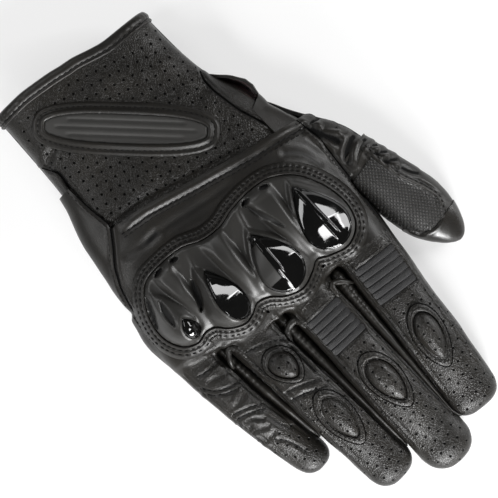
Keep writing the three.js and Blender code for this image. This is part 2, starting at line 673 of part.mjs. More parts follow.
// Strap under the wrist with hook tape, closing on a loop patch; it swings about its sewn end
function addStrap() {
  const band = (inner, outer, left, right, from, to) => handBody(outer)
    .subtract(handBody(inner, -FAR / 2, FAR / 2))
    .intersect(prism([[left, from], [right, from], [right, to], [left, to]], -FAR, handSection(from).z));
  const patchBox = [PATCH.left, PATCH.right, STRAP.from + PATCH.inset, STRAP.to - PATCH.inset];
  const loopFloor = CUFF_OFFSET + LAY_GAP;
  const loop = band(loopFloor, loopFloor + PATCH.loop, ...patchBox);
  addPiece(glove, "loop_patch", loop, hookTape);
  const hookFloor = loopFloor + PATCH.loop + LAY_GAP;
  const hook = band(hookFloor, hookFloor + PATCH.hook, ...patchBox);
  const strapFloor = hookFloor + PATCH.hook + LAY_GAP;
  const tab = band(strapFloor, strapFloor + STRAP.wall, STRAP.left, STRAP.right, STRAP.from, STRAP.to);
  const swing = new THREE.Group();
  swing.name = "strap";
  const hinge = [STRAP.left, (STRAP.from + STRAP.to) / 2, palmAt(STRAP.left, (STRAP.from + STRAP.to) / 2, strapFloor)];
  swing.position.set(...hinge);
  swing.userData.joint = { name: "strap_swing", type: "hinge", axis: [0, 1, 0], range_deg: [0, 120] };
  addPiece(swing, "wrist_strap", tab, leather, hinge);
  addPiece(swing, "hook_patch", hook, hookTape, hinge);
  glove.add(swing);
}

// Palm padding. The heel pad is cut flat, and the glove rests on it
function addPalmPads() {
  const clear = wholeBody(LAY_GAP);
  const pad = (shape, power, count) => {
    const outline = oval(shape.x, shape.y, shape.width, shape.length, 0, count, power).reverse();
    const under = (x, y, share) => palmAt(x, y) - LAY_GAP - shape.rise * (share > 0.99 ? 0.6 : 1);
    return largest(patchOver(outline, [shape.x, shape.y], handSection(shape.y).z, under).subtract(clear));
  };
  const aboveFloor = prism([[-FAR, -FAR], [FAR, -FAR], [FAR, FAR], [-FAR, FAR]], 0, FAR);
  addPiece(glove, "palm_heel_pad", pad(HEEL_PAD, 2.6, 20).intersect(aboveFloor), leather);
  addPiece(glove, "palm_grip_patch", pad(GRIP_PATCH, 3, 20), suede);
}

// Knuckle guard
function addGuard() {
  const outline = smoothOutline(GUARD_OUTLINE, GUARD_POINTS).reverse();
  const xs = outline.map(([x]) => x);
  const ys = outline.map(([, y]) => y);
  const box = [Math.min(...xs) - 1, Math.max(...xs) + 1, Math.min(...ys) - 1, Math.max(...ys) + 1];
  const windows = INSERTS.map((insert) => prism(teardropOutline(insert, 0)));
  const shell = gridPlate(box, GUARD_GRID, guardUnder, guardTop)
    .intersect(prism(outline))
    .subtract(joined(windows));

  addPiece(glove, "knuckle_guard", largest(shell), matteShell);

  for (const insert of INSERTS) {
    const root = (x, y) => backAt(insert.x, y) + GUARD_SEAT + GUARD_WALL / 2;
    const stand = (x, y) => Math.max(guardTop(x, y) + INSERT_STAND, root(x, y) + INSERT_STAND);
    const lens = gridPlate(box, GUARD_GRID, root, stand).intersect(prism(teardropOutline(insert, -INSERT_GAP)));
    addPiece(glove, insert.name, largest(lens), glossShell);
  }

  const padding = wholeBody(GUARD_SEAT - LAY_GAP).subtract(wholeBody(LAY_GAP))
    .intersect(prism(offsetOutline(outline, -FOAM_INSET), handSection(0).z));
  addPiece(glove, "knuckle_foam", largest(padding), foam);

  // a leather surround laps the guard's edge on the outside, with a raised lip against it
  const profile = [
    [SURROUND.clear, -LEATHER], [SURROUND.wide, -LEATHER], [SURROUND.wide, SURROUND.rise * 0.7],
    [SURROUND.wide * 0.5, SURROUND.rise], [SURROUND.clear * 2, SURROUND.lip],
  ];
  const rows = profile.map(([out, up]) => offsetOutline(outline, out).map(([x, y]) => {
    const within = Math.min(x, SURROUND.edge + out / SURROUND.wide);
    return new THREE.Vector3(within, y, backAt(within, y) + up);
  }));
  addPiece(glove, "guard_surround", largest(ringOf(rows).subtract(wholeBody(LAY_GAP))), leather);
}

// A closed ring with the section that the rows give, one row for each corner of the section
function ringOf(rows) {
  const corners = [];
  const count = rows[0].length;
  rows.forEach((row, r) => {
    const nextRow = rows[(r + 1) % rows.length];
    row.forEach((p, k) => {
      const n = (k + 1) % count;
      corners.push(...p.toArray(), ...row[n].toArray(), ...nextRow[n].toArray());
      corners.push(...p.toArray(), ...nextRow[n].toArray(), ...nextRow[k].toArray());
    });
  });
  const geometry = new THREE.BufferGeometry();
  geometry.setAttribute("position", new THREE.Float32BufferAttribute(corners, 3));
  return solidOf(geometry);
}

// A finger or the thumb: links that turn about its joints, each with a back and a palm panel
function addDigit(finger) {
  const shell = fingerBody(finger, 0).subtract(fingerBody(finger, -LEATHER, -ROOT_REACH - 1));
  const heightAt = (s) => fingerSection(finger, s).z;
  const backSide = seamSide(heightAt, -ROOT_REACH, finger.reach + 2, true);
  const palmSide = seamSide(heightAt, -ROOT_REACH, finger.reach + 2, false);
  const count = finger.joints.length;
  const links = [];
  let parent = new THREE.Group();
  parent.position.set(finger.x, finger.y, 0);
  parent.rotation.z = THREE.MathUtils.degToRad(-finger.heading);
  glove.add(parent);
  let from = [0, 0, 0];
  for (let i = 0; i < count; i += 1) {
    const hinge = hingeOf(finger, i);
    const origin = [0, hinge.s, hinge.z];
    const link = new THREE.Group();
    const label = count === 2 && i === 1 ? "tip" : LINK_NAMES[i];
    link.name = `${finger.name}_${label}`;
    link.position.set(0, origin[1] - from[1], origin[2] - from[2]);
    const roll = THREE.MathUtils.degToRad(finger.roll);
    link.userData.joint = {
      name: `${finger.name}_${["knuckle", "middle", "end"][i]}_bend`,
      type: "hinge",
      axis: [-Math.cos(roll), 0, Math.sin(roll)],
    };
    parent.add(link);
    let body = shell.intersect(beyond(finger, i));
    if (i + 1 < count) body = body.intersect(upTo(finger, i + 1));
    let backPanel = body.intersect(backSide);
    for (const panel of STRETCH_PANELS) {
      if (FINGERS[panel.finger] === finger && i === 0) backPanel = backPanel.subtract(stretchWindow(finger, panel, 0));
    }
    addPiece(link, `${finger.name}_back_${label}`, largest(backPanel), perforatedLeather, origin);
    addPiece(link, `${finger.name}_palm_${label}`, largest(body.intersect(palmSide)), suede, origin);
    links.push({ link, origin });
    parent = link;
    from = origin;
  }
  return links;
}

// The ribbed stretch panel fills a window in the finger's back panel
function stretchWindow(finger, panel, inset) {
  const half = (fingerSection(finger, (panel.from + panel.to) / 2).half) * STRETCH_SHARE - inset;
  const [low, high] = [panel.from + inset, panel.to - inset];
  return prism([[-half, low], [half, low], [half, high], [-half, high]], finger.height[0], FAR);
}

function addStretchPanel(panel, links) {
  const finger = FINGERS[panel.finger];
  const { link, origin } = links[panel.finger][0];
  const rows = [];
  const steps = STRETCH_RIBS * 4;
  for (let i = 0; i <= steps; i += 1) {
    const s = panel.from - 1 + ((panel.to - panel.from + 2) * i) / steps;
    const rib = RIB_HEIGHT * Math.sin((Math.PI * STRETCH_RIBS * i) / steps) ** 2;
    rows.push(sectionRow(fingerSection(finger, s, rib - RIB_HEIGHT / 2), s, FINGER_SIDES, FINGER_ROUNDNESS, 0));
  }
  const ribbed = skinned(rows)
    .subtract(fingerBody(finger, -LEATHER, -ROOT_REACH - 1))
    .intersect(stretchWindow(finger, panel, SEAM_GAP));
  addPiece(link, panel.name, largest(ribbed), stretchCloth, origin);
}

// A patch on a finger's back, padded towards its middle
function fingerPatch(finger, outline, middle, rise) {
  const top = (x, s) => surfaceOf(fingerSection(finger, s), x, FINGER_ROUNDNESS) + LAY_GAP;
  const over = (x, s, share) => top(x, s) + rise * Math.max(1 - share ** 3, 0.3);
  return largest(patchOver(outline, middle, finger.height[1], over).subtract(fingerBody(finger, LAY_GAP)));
}

function addFingerPad(pad, links) {
  const finger = FINGERS[pad.finger];
  const { link, origin } = links[pad.finger][pad.link];
  const middle = [0, (pad.from + pad.to) / 2];
  const length = pad.to - pad.from;
  const outline = oval(0, middle[1], pad.width, length, 0, PAD_SIDES, 2).map(([x, y]) => {
    const along = (y - middle[1]) / length;
    return [x * (1 - 0.36 * along) + pad.lean * along * 2, y];
  });
  addPiece(link, pad.name, fingerPatch(finger, outline, middle, PAD_RISE), leather, origin);
}

function addThumbGrip(links) {
  const { link, origin } = links.at(-1);
  const last = THUMB.joints.at(-1);
  const from = Math.max(THUMB_GRIP.from, last + hingeOf(THUMB, 1).radius * 0.9);
  const middle = [1, (from + THUMB_GRIP.to) / 2];
  const outline = oval(middle[0], middle[1], THUMB_GRIP.width, THUMB_GRIP.to - from, 0, PAD_SIDES, 2);
  addPiece(link, "thumb_grip_panel", fingerPatch(THUMB, outline, middle, GRIP_RISE), suede, origin);
}

addHandPanels();
addCuff();
addBadge();
addGusset();
addStrap();
addPalmPads();
addGuard();
const fingerLinks = FINGERS.map(addDigit);
const thumbLinks = addDigit(THUMB);
STRETCH_PANELS.forEach((panel) => addStretchPanel(panel, fingerLinks));
FINGER_PADS.forEach((pad) => addFingerPad(pad, fingerLinks));
addThumbGrip(thumbLinks);

// The origin is under the middle of the glove, at its lowest point
glove.updateMatrixWorld(true);
const extent = new THREE.Box3().setFromObject(glove, true);
const centre = extent.getCenter(new THREE.Vector3());
glove.position.set(-centre.x, -centre.y, -extent.min.z);

export default glove;
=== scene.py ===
"""A right-hand leather riding glove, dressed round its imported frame. Sizes are in millimetres in the glove's own
plan: x towards the little finger, y towards the fingertips, z up out of the back of the hand."""

import json
import math

import bpy
import numpy as np
from mathutils import Matrix, Vector, geometry
from mathutils.bvhtree import BVHTree
from mathutils.kdtree import KDTree


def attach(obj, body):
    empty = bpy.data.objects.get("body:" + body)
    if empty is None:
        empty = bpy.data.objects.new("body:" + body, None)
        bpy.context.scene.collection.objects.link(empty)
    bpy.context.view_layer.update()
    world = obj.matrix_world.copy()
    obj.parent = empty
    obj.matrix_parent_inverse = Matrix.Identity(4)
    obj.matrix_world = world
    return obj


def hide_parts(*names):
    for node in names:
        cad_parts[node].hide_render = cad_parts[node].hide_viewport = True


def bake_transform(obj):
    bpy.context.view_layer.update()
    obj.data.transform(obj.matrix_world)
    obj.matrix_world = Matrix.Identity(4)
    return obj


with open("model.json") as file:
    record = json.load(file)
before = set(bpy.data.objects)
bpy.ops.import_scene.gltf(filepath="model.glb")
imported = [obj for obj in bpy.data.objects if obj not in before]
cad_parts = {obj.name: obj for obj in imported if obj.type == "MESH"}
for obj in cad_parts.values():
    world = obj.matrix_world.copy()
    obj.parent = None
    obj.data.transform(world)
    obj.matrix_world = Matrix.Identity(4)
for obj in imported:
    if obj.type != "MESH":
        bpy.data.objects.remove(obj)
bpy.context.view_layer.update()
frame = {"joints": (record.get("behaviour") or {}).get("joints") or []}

# The table and the lamps: a white table top under four soft boxes: at the fingertips, at the thumb, at the
# little finger and behind the wrist. Their reflections draw the bright patches on the polished inserts. A low
# box lights the fingertips, and a long strip beside the thumb draws the streaks on the inserts' crests.
MM = 0.001
PIXEL = 0.43
PHOTO_SIDE = 498 * PIXEL
LOOK_ALONG = math.radians(47)
CAMERA_HEIGHT = 1600.0
MIDDLE_HEIGHT = 19.0
MIDDLE_KNUCKLE = (-4.9, 22.4)

knuckle = next(j["pos_m"] for j in frame["joints"] if j["name"] == "middle_knuckle_bend")
PLAN_ORIGIN = np.array([knuckle[0] / MM - MIDDLE_KNUCKLE[0], knuckle[1] / MM - MIDDLE_KNUCKLE[1], 0.0])


def to_frame(points):
    """Points of the glove's plan in millimetres, as metres in the row frame."""
    return (np.asarray(points, float) + PLAN_ORIGIN) * MM


camera_data = bpy.data.cameras.new("photo_camera")
camera_data.sensor_width = 36
camera_data.lens = 18 * CAMERA_HEIGHT / (PHOTO_SIDE / 2)
camera_data.clip_end = 20
camera = bpy.data.objects.new("photo_camera", camera_data)
bpy.context.scene.collection.objects.link(camera)
right = Vector((-math.sin(LOOK_ALONG), math.cos(LOOK_ALONG), 0))
up = Vector((-math.cos(LOOK_ALONG), -math.sin(LOOK_ALONG), 0))
camera.matrix_world = Matrix.Translation(to_frame([0, -0.9, MIDDLE_HEIGHT + CAMERA_HEIGHT])) @ (
    Matrix((right, up, Vector((0, 0, 1)))).transposed().to_4x4()
)
bpy.context.scene.camera = camera


def aim(lamp, place, target=(0, 0, 15)):
    """Puts a lamp at a place in the plan, turned to a target."""
    here, there = Vector(to_frame(place)), Vector(to_frame(target))
    turn = (there - here).to_track_quat("-Z", "Y").to_matrix().to_4x4()
    lamp.matrix_world = Matrix.Translation(here) @ turn


for name, place, width, length, power in (
    ("box_fingertip_side", (288, 790, 799), 230, 300, 5.4),
    ("box_thumb_side", (-1017, 216, 615), 520, 380, 7.8),
    ("box_little_finger_side", (827, -334, 818), 420, 300, 3.8),
    ("box_wrist_side", (160, -905, 934), 400, 300, 2.9),
    ("low_box_fingertips", (230, 560, 190), 300, 150, 6.2),
    ("strip_thumb_side", (-900, 420, 350), 60, 800, 2.2),
):
    area = bpy.data.lights.new(name, "AREA")
    area.shape, area.size, area.size_y, area.energy = "RECTANGLE", width * MM, length * MM, power
    lamp = bpy.data.objects.new(name, area)
    bpy.context.scene.collection.objects.link(lamp)
    aim(lamp, place)

world = bpy.data.worlds.new("plain_light")
bpy.context.scene.world = world
world.use_nodes = True
world.node_tree.nodes["Background"].inputs["Color"].default_value = (1, 1, 1, 1)
world.node_tree.nodes["Background"].inputs["Strength"].default_value = 0.08
bpy.context.scene.view_settings.view_transform = "Standard"

def wire(tree, kind, settings=None, **links):
    """Adds a node. links gives each input by name, or i and its number: a socket to join to it, or a plain value."""
    node = tree.nodes.new(f"ShaderNode{kind}")
    for key, value in (settings or {}).items():
        setattr(node, key, value)
    for key, value in links.items():
        found = int(key[1:]) if key[0] == "i" and key[1:].isdigit() else key.replace("_", " ")
        if isinstance(value, bpy.types.NodeSocket):
            tree.links.new(value, node.inputs[found])
        else:
            node.inputs[found].default_value = value
    return node


def calc(tree, operation, a, b=0.0, c=0.0):
    """The output socket of a Math node."""
    return wire(tree, "Math", {"operation": operation}, i0=a, i1=b, i2=c).outputs[0]


def new_finish(name, **plain):
    """A material with a Principled shader whose plain values are set on its own sockets."""
    material = bpy.data.materials.new(name)
    material.use_nodes = True
    tree = material.node_tree
    shader = tree.nodes["Principled BSDF"]
    for key, value in plain.items():
        shader.inputs[key.replace("_", " ")].default_value = value
    return material, tree, shader


table_mesh = bpy.data.meshes.new("table_top")
table_mesh.from_pydata([(-6, -6, 0), (6, -6, 0), (6, 6, 0), (-6, 6, 0)], [], [(0, 1, 2, 3)])
table_top = bpy.data.objects.new("table_top", table_mesh)
table_top.location.z = -0.0002
bpy.context.scene.collection.objects.link(table_top)
table_paint, table_tree, table_shader = new_finish("table_white", Base_Color=(0.98, 0.98, 0.98, 1),
                                                   Roughness=0.9,
                                                   Specular_IOR_Level=0.1)
ray = wire(table_tree, "LightPath").outputs
mirrored = calc(table_tree, "MAXIMUM", ray["Is Glossy Ray"], ray["Is Transmission Ray"])
white_share = calc(table_tree, "MULTIPLY", calc(table_tree, "MAXIMUM", ray["Is Camera Ray"], mirrored), 0.55)
white = wire(table_tree, "Emission").outputs[0]
table_blend = wire(table_tree, "MixShader", i0=white_share, i1=table_shader.outputs[0], i2=white)
table_tree.links.new(table_blend.outputs[0], table_tree.nodes["Material Output"].inputs["Surface"])
table_mesh.materials.append(table_paint)


# Leather finishes: full-grain cowhide, the same hide punched with pinholes, and napped suede for the palm.
# Grain, pinholes, wear and cloth weave are node groups, so that each material sets its own scale and depth.
def node_group(name, inputs, outputs):
    """An empty shader node group with named sockets, and its first and last nodes."""
    tree = bpy.data.node_groups.new(name, "ShaderNodeTree")
    for side, sockets in (("INPUT", inputs), ("OUTPUT", outputs)):
        for label, kind, *start in sockets:
            socket = tree.interface.new_socket(label, in_out=side, socket_type=f"NodeSocket{kind}")
            if start:
                socket.default_value = start[0]
    return tree, tree.nodes.new("NodeGroupInput"), tree.nodes.new("NodeGroupOutput")


def remap(tree, value, low, high, out_low=0.0, out_high=1.0):
    """A smooth step from out_low at low to out_high at high."""
    node = wire(tree, "MapRange", {"interpolation_type": "SMOOTHSTEP"}, i0=value, i1=low, i2=high,
                i3=out_low, i4=out_high)
    return node.outputs[0]


def object_place(tree):
    """Object coordinates in millimetres."""
    coordinates = wire(tree, "TexCoord").outputs["Object"]
    return wire(tree, "VectorMath", {"operation": "SCALE"}, i0=coordinates, Scale=1 / MM).outputs[0]


def grain_group():
    """Pebbled hide: flat cells with fine creases between them, and fine pores."""
    tree, start, end = node_group(
        "leather_grain",
        [("Place", "Vector"), ("Pebble", "Float", 1.1), ("Crease", "Float", 1.0)],
        [("Height", "Float"), ("Mottle", "Float")],
    )
    scale = calc(tree, "DIVIDE", 1.0, start.outputs["Pebble"])
    bent = wire(tree, "TexNoise", Vector=start.outputs["Place"], Scale=0.7, Detail=1.0).outputs["Color"]
    shift = wire(tree, "VectorMath", {"operation": "SCALE"}, i0=bent, Scale=0.35).outputs[0]
    place = wire(tree, "VectorMath", {"operation": "ADD"}, i0=start.outputs["Place"], i1=shift).outputs[0]
    cells = wire(tree, "TexVoronoi", {"feature": "DISTANCE_TO_EDGE"}, Vector=place,
                 Scale=scale).outputs["Distance"]
    pebble = remap(tree, cells, 0.0, 0.24)
    fine = wire(tree, "TexNoise", Vector=start.outputs["Place"], Scale=2.2, Detail=3.0,
                Roughness=0.5).outputs["Fac"]
    creased = calc(tree, "MULTIPLY", pebble, start.outputs["Crease"])
    tree.links.new(calc(tree, "MULTIPLY_ADD", fine, 0.3, creased), end.inputs["Height"])
    broad = wire(tree, "TexNoise", Vector=start.outputs["Place"], Scale=0.05, Detail=3.0,
                 Roughness=0.55).outputs["Fac"]
    tree.links.new(calc(tree, "MULTIPLY_ADD", calc(tree, "SUBTRACT", pebble, 0.7), 0.25, broad),
                   end.inputs["Mottle"])
    return tree


def pinhole_group():
    """Punched holes on a square lattice: Lattice is the place in units of the holes' pitch."""
    tree, start, end = node_group(
        "pinholes", [("Lattice", "Vector"), ("Radius", "Float", 0.12), ("Punched", "Float", 1.0)],
        [("Hole", "Float")]
    )
    cell = wire(tree, "VectorMath", {"operation": "FRACTION"}, i0=start.outputs["Lattice"]).outputs[0]
    off = wire(tree, "VectorMath", {"operation": "SUBTRACT"}, i0=cell, i1=(0.5, 0.5, 0.0)).outputs[0]
    flat = wire(tree, "VectorMath", {"operation": "MULTIPLY"}, i0=off, i1=(1, 1, 0)).outputs[0]
    away = wire(tree, "VectorMath", {"operation": "LENGTH"}, i0=flat).outputs["Value"]
    share = calc(tree, "DIVIDE", away, start.outputs["Radius"])
    hole = remap(tree, share, 0.75, 1.3, 1.0, 0.0)
    tree.links.new(calc(tree, "MULTIPLY", hole, start.outputs["Punched"]), end.inputs["Hole"])
    return tree


def wear_group():
    """Rubbed places: where Edge is high and a broken noise lets the rub through."""
    tree, start, end = node_group(
        "edge_wear", [("Place", "Vector"), ("Edge", "Float"), ("Amount", "Float", 0.5)], [("Rubbed", "Float")]
    )
    patchy = wire(tree, "TexNoise", Vector=start.outputs["Place"], Scale=0.6, Detail=5.0,
                  Roughness=0.7).outputs["Fac"]
    broken = remap(tree, patchy, 0.35, 0.7)
    rub = calc(tree, "MULTIPLY", calc(tree, "MULTIPLY", start.outputs["Edge"], broken),
               start.outputs["Amount"])
    tree.links.new(calc(tree, "MINIMUM", rub, 1.0), end.inputs["Rubbed"])
    return tree


def weave_group():
    """Knitted or woven cloth: two crossing sets of threads."""
    tree, start, end = node_group(
        "cloth_weave", [("Place", "Vector"), ("Thread", "Float", 0.5)],
        [("Height", "Float"), ("Fleck", "Float")]
    )
    scale = calc(tree, "DIVIDE", 1.0, start.outputs["Thread"])
    waves = []
    for direction in ("X", "Y"):
        wave = wire(tree, "TexWave", {"bands_direction": direction}, Vector=start.outputs["Place"],
                    Scale=scale,
                    Distortion=0.6, Detail=1.0)
        waves.append(wave.outputs["Fac"])
    tree.links.new(calc(tree, "MAXIMUM", *waves), end.inputs["Height"])
    fleck = wire(tree, "TexNoise", Vector=start.outputs["Place"], Scale=3.0, Detail=2.0).outputs["Fac"]
    tree.links.new(fleck, end.inputs["Fleck"])
    return tree


GRAIN, PINHOLES, WEAR, WEAVE = grain_group(), pinhole_group(), wear_group(), weave_group()


def placed_group(tree, group, **links):
    return wire(tree, "Group", {"node_tree": group}, **links)


def tint(tree, low, high, share):
    """A colour between two, by a share."""
    low, high = ((*value, 1) if isinstance(value, tuple) else value for value in (low, high))
    return wire(tree, "Mix", {"data_type": "RGBA", "clamp_factor": True}, i6=low, i7=high,
                i0=share).outputs[2]


def surfaced(tree, shader, colour, roughness, height, depth):
    """Joins a colour, a roughness and the height of a bump of a given depth to a finish's shader."""
    tree.links.new(colour, shader.inputs["Base Color"])
    if isinstance(roughness, bpy.types.NodeSocket):
        tree.links.new(roughness, shader.inputs["Roughness"])
    else:
        shader.inputs["Roughness"].default_value = roughness
    bump = wire(tree, "Bump", Height=height, Distance=depth * MM)
    tree.links.new(bump.outputs["Normal"], shader.inputs["Normal"])


def attribute(tree, name, output="Fac"):
    return wire(tree, "Attribute", {"attribute_name": name}).outputs[output]


def hide_finish(name, dark, light, pebble, crease, rough, depth, punched=None):
    """Full-grain hide, with pinholes of a given radius where the mesh says that it is punched. Its colour is darkened
    with painted shade in the holes and where the edge attribute is negative.
    """
    material, tree, shader = new_finish(name, Specular_IOR_Level=0.35)
    place = object_place(tree)
    grain = placed_group(tree, GRAIN, Place=place, Pebble=pebble, Crease=crease)
    edge = attribute(tree, "edge")
    rubbed = placed_group(tree, WEAR, Place=place, Edge=edge, Amount=0.22).outputs["Rubbed"]
    mottle = remap(tree, grain.outputs["Mottle"], 0.3, 0.7)
    colour = tint(tree, dark, light, mottle)
    colour = tint(tree, colour, tuple(c * 1.8 for c in light), rubbed)
    # Painted shade: where the edge attribute is negative, along seam grooves, folds and creases, the colour goes to
    # near black and the hide turns fully rough.
    painted_crease_shade = remap(tree, edge, 0.0, -1.0)
    colour = tint(tree, colour, (0.001, 0.001, 0.001), painted_crease_shade)
    roughness = calc(tree, "MULTIPLY_ADD", mottle, -0.08, rough)
    roughness = calc(tree, "MAXIMUM", calc(tree, "MULTIPLY_ADD", rubbed, -0.1, roughness), painted_crease_shade)
    height = grain.outputs["Height"]
    if punched:
        hole = placed_group(tree, PINHOLES, Lattice=attribute(tree, "lattice", "Vector"), Radius=punched,
                            Punched=attribute(tree, "punched")).outputs["Hole"]
        # Painted shade: the pinholes are darkened to near black, besides being pressed in by the bump.
        colour = tint(tree, colour, (0.0008, 0.0008, 0.0008), hole)
        roughness = calc(tree, "MAXIMUM", roughness, hole)
        height = calc(tree, "MULTIPLY_ADD", hole, -4.0, height)
    surfaced(tree, shader, colour, roughness, height, depth)
    return material


DARK_HIDE = (0.0075, 0.0068, 0.0058)
leather = hide_finish("leather", DARK_HIDE, (0.0155, 0.0139, 0.0116), 0.8, 0.5, 0.43, 0.035)
punched_leather = hide_finish("punched_leather", DARK_HIDE, (0.016, 0.0144, 0.0121), 0.9, 1.0, 0.36, 0.065,
                              punched=0.12)

suede, tree, shader = new_finish("palm_suede", Sheen_Weight=0.06, Sheen_Roughness=0.5, Specular_IOR_Level=0.2)
nap = wire(tree, "TexNoise", Vector=object_place(tree), Scale=1.6, Detail=6.0, Roughness=0.75).outputs["Fac"]
brushed = wire(tree, "TexNoise", Vector=object_place(tree), Scale=0.12, Detail=3.0).outputs["Fac"]
surfaced(tree, shader, tint(tree, (0.008, 0.0077, 0.0072), (0.02, 0.0192, 0.018),
                            remap(tree, brushed, 0.3, 0.7)),
         calc(tree, "MULTIPLY_ADD", nap, 0.15, 0.8), nap, 0.12)

thread, tree, shader = new_finish("bonded_thread", Specular_IOR_Level=0.12)
twist = placed_group(tree, WEAVE, Place=object_place(tree), Thread=0.12).outputs
surfaced(tree, shader, tint(tree, (0.002, 0.002, 0.002), (0.012, 0.0115, 0.011), twist["Height"]),
         calc(tree, "MULTIPLY_ADD", twist["Fleck"], 0.2, 0.45), twist["Height"], 0.04)

# Painted shade: a near-black finish for the discs and beads laid in pinholes and in the gaps of seams, where the inside
# of a hole or the gap between two hides lies in shade.
hole_and_gap_shade, tree, shader = new_finish("hole_and_gap_shade", Specular_IOR_Level=0.05, Roughness=1.0)
shade_noise = wire(tree, "TexNoise", Vector=object_place(tree), Scale=4.0, Detail=3.0).outputs["Fac"]
tree.links.new(tint(tree, (0.0008, 0.0008, 0.0008), (0.004, 0.0038, 0.0035), shade_noise),
               shader.inputs["Base Color"])

# The hand, finger and thumb leather: one filled-out skin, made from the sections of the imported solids,
# softened where its tubes meet, embossed with seams, folds and gathers, and then cut along its seams into the
# sewn panels.
HAND_ROUNDNESS, FINGER_ROUNDNESS = 2.9, 2.4
HAND = np.array([
    (-126, -36.8, 43.0, 2.4, 38.6), (-103, -37.2, 43.2, 2.6, 37.6), (-84, -38.0, 43.8, 4.6, 36.6),
    (-68, -40.0, 45.6, 6.8, 36.0), (-50, -46.6, 51.6, 5.6, 36.0), (-26, -52.4, 55.4, 2.6, 36.2),
    (-6, -53.4, 58.0, 2.2, 35.8), (12, -52.4, 59.6, 2.4, 34.6), (26, -50.6, 59.0, 3.6, 31.6),
    (44, -49.0, 57.0, 6.0, 27.0),
])
THENAR = np.array([
    (-58, -34, -16, 12, 25), (-44, -47.6, -14, 5.4, 27), (-30, -55.4, -14, 2.8, 27.2),
    (-13, -65.8, -20, 2.2, 27),
    (0, -69.6, -30, 2.4, 26.2), (14, -72, -44, 2.8, 25.4),
])
BACK_HEM = np.array([(-80, -24), (-54, -27.4), (-26, -33), (0, -39.4), (21, -45), (36, -47), (80, -49)])
WEB_LINE = np.array([(-80, 31), (8, 31), (20, 29), (36, 22.6), (50, 17), (80, 13)])
SIDE_SEAM = np.array([
    (38.7, -72), (38, -60), (36.4, -48.6), (42, -41), (47.4, -34.4), (51.4, -26.6), (54, -18), (55.4, -8),
    (56, 2)
])
PALM_HEM_AT = -47.0
LEATHER_THICK = 1.3
THENAR_END = 6.4
DIGITS = {
    "index": dict(x=-38, y=21.5, heading=6.2, bow=0, reach=95.6, width=(27.4, 22.6),
                  depth=(26.6, 17.2), height=(17.2, 9.2), arch=4.6, tip=10, power=2.5, splits=(26.5, 51)),
    "middle": dict(x=-4.9, y=22.4, heading=0, bow=0, reach=104.4, width=(23.8, 22.8),
                   depth=(26.8, 17), height=(17.6, 9.2), arch=5.2, tip=12, power=2.2, splits=(26.8, 52)),
    "ring": dict(x=25, y=17.2, heading=-4, bow=0, reach=98, width=(22.8, 20.4),
                 depth=(25.8, 16.4), height=(16.8, 8.8), arch=5, tip=10, power=2.4, splits=(28.5, 54)),
    "little": dict(x=50.4, y=9.5, heading=-7.4, bow=1.5, reach=79.6, width=(19, 15.8),
                   depth=(22.6, 14.6), height=(15, 7.8), arch=3.6, tip=9, power=2.3, splits=(25.5, 46)),
    "thumb": dict(x=-60.7, y=6.4, heading=-11.5, bow=0, reach=53.4, width=(22.6, 26.4),
                  depth=(22.6, 18.6), height=(13.8, 10.4), arch=0.8, tip=27, power=1.65, splits=(14.5,)),
}
ROOT_CUT = {"index": 10.0, "middle": 10.0, "ring": 10.5, "little": 9.0, "thumb": 1.0}


def hem_at(x):
    """Where the hem of the back lies along the hand, at x."""
    return np.interp(x, BACK_HEM[:, 0], BACK_HEM[:, 1])


def station_values(table, at):
    """left, right, low and high at y, by a cubic with the neighbours' slopes."""
    at = np.clip(np.atleast_1d(at).astype(float), table[0, 0], table[-1, 0])
    last = len(table) - 1
    i = np.clip(np.searchsorted(table[:, 0], at, side="right") - 1, 0, last - 1)

    def slope(p, q):
        return (table[q, 1:] - table[p, 1:]) / (table[q, 0] - table[p, 0])[:, None]

    before, after = slope(np.maximum(i - 1, 0), i + 1), slope(i, np.minimum(i + 2, last))
    span = (table[i + 1, 0] - table[i, 0])[:, None]
    t = (at[:, None] - table[i, :1]) / span
    t2, t3 = t * t, t * t * t
    return ((2 * t3 - 3 * t2 + 1) * table[i, 1:] + (t3 - 2 * t2 + t) * span * before
            + (3 * t2 - 2 * t3) * table[i + 1, 1:] + (t3 - t2) * span * after)


def hand_section(y, grown=0.0, table=HAND):
    """Middle x, middle z, half width and half depth of the hand at y."""
    left, right, low, high = station_values(table, y).T
    return (left + right) / 2, (low + high) / 2, (right - left) / 2 + grown, (high - low) / 2 + grown


def digit_section(digit, s, grown=0.0):
    """The same for a finger or the thumb, at a distance s along it from its knuckle, in its own frame."""
    s = np.atleast_1d(s).astype(float)
    straight = digit["reach"] - digit["tip"]
    along = s / straight
    share = np.clip(along, -1, 1)
    size = np.where(s < 0, np.sqrt(np.clip(1 - (s / 34) ** 2, 0, 1)), 1.0)
    past = np.clip((s - straight) / (digit["tip"] + grown), 0, 1)
    size = np.where(s > straight, (1 - past ** digit["power"]) ** (1 / digit["power"]), size)
    taper = np.maximum(share, 0)
    (w0, w1), (d0, d1), (h0, h1) = digit["width"], digit["depth"], digit["height"]
    return (digit["bow"] * np.sin(np.pi * np.clip(s / digit["reach"], 0, 1)),
            h0 + (h1 - h0) * along + digit["arch"] * np.sin(np.pi * share),
            ((w0 + (w1 - w0) * taper) / 2 + grown) * size, ((d0 + (d1 - d0) * taper) / 2 + grown) * size)


def in_digit(digit, points):
    """Points of the plan in a finger's own frame, and the other way round with out_of_digit."""
    turn = math.radians(digit["heading"])
    dx, dy = points[:, 0] - digit["x"], points[:, 1] - digit["y"]
    across = dx * math.cos(turn) - dy * math.sin(turn)
    along = dx * math.sin(turn) + dy * math.cos(turn)
    return across, along


def out_of_digit(digit, across, along):
    turn = math.radians(digit["heading"])
    return (digit["x"] + across * math.cos(turn) + along * math.sin(turn),
            digit["y"] - across * math.sin(turn) + along * math.cos(turn))


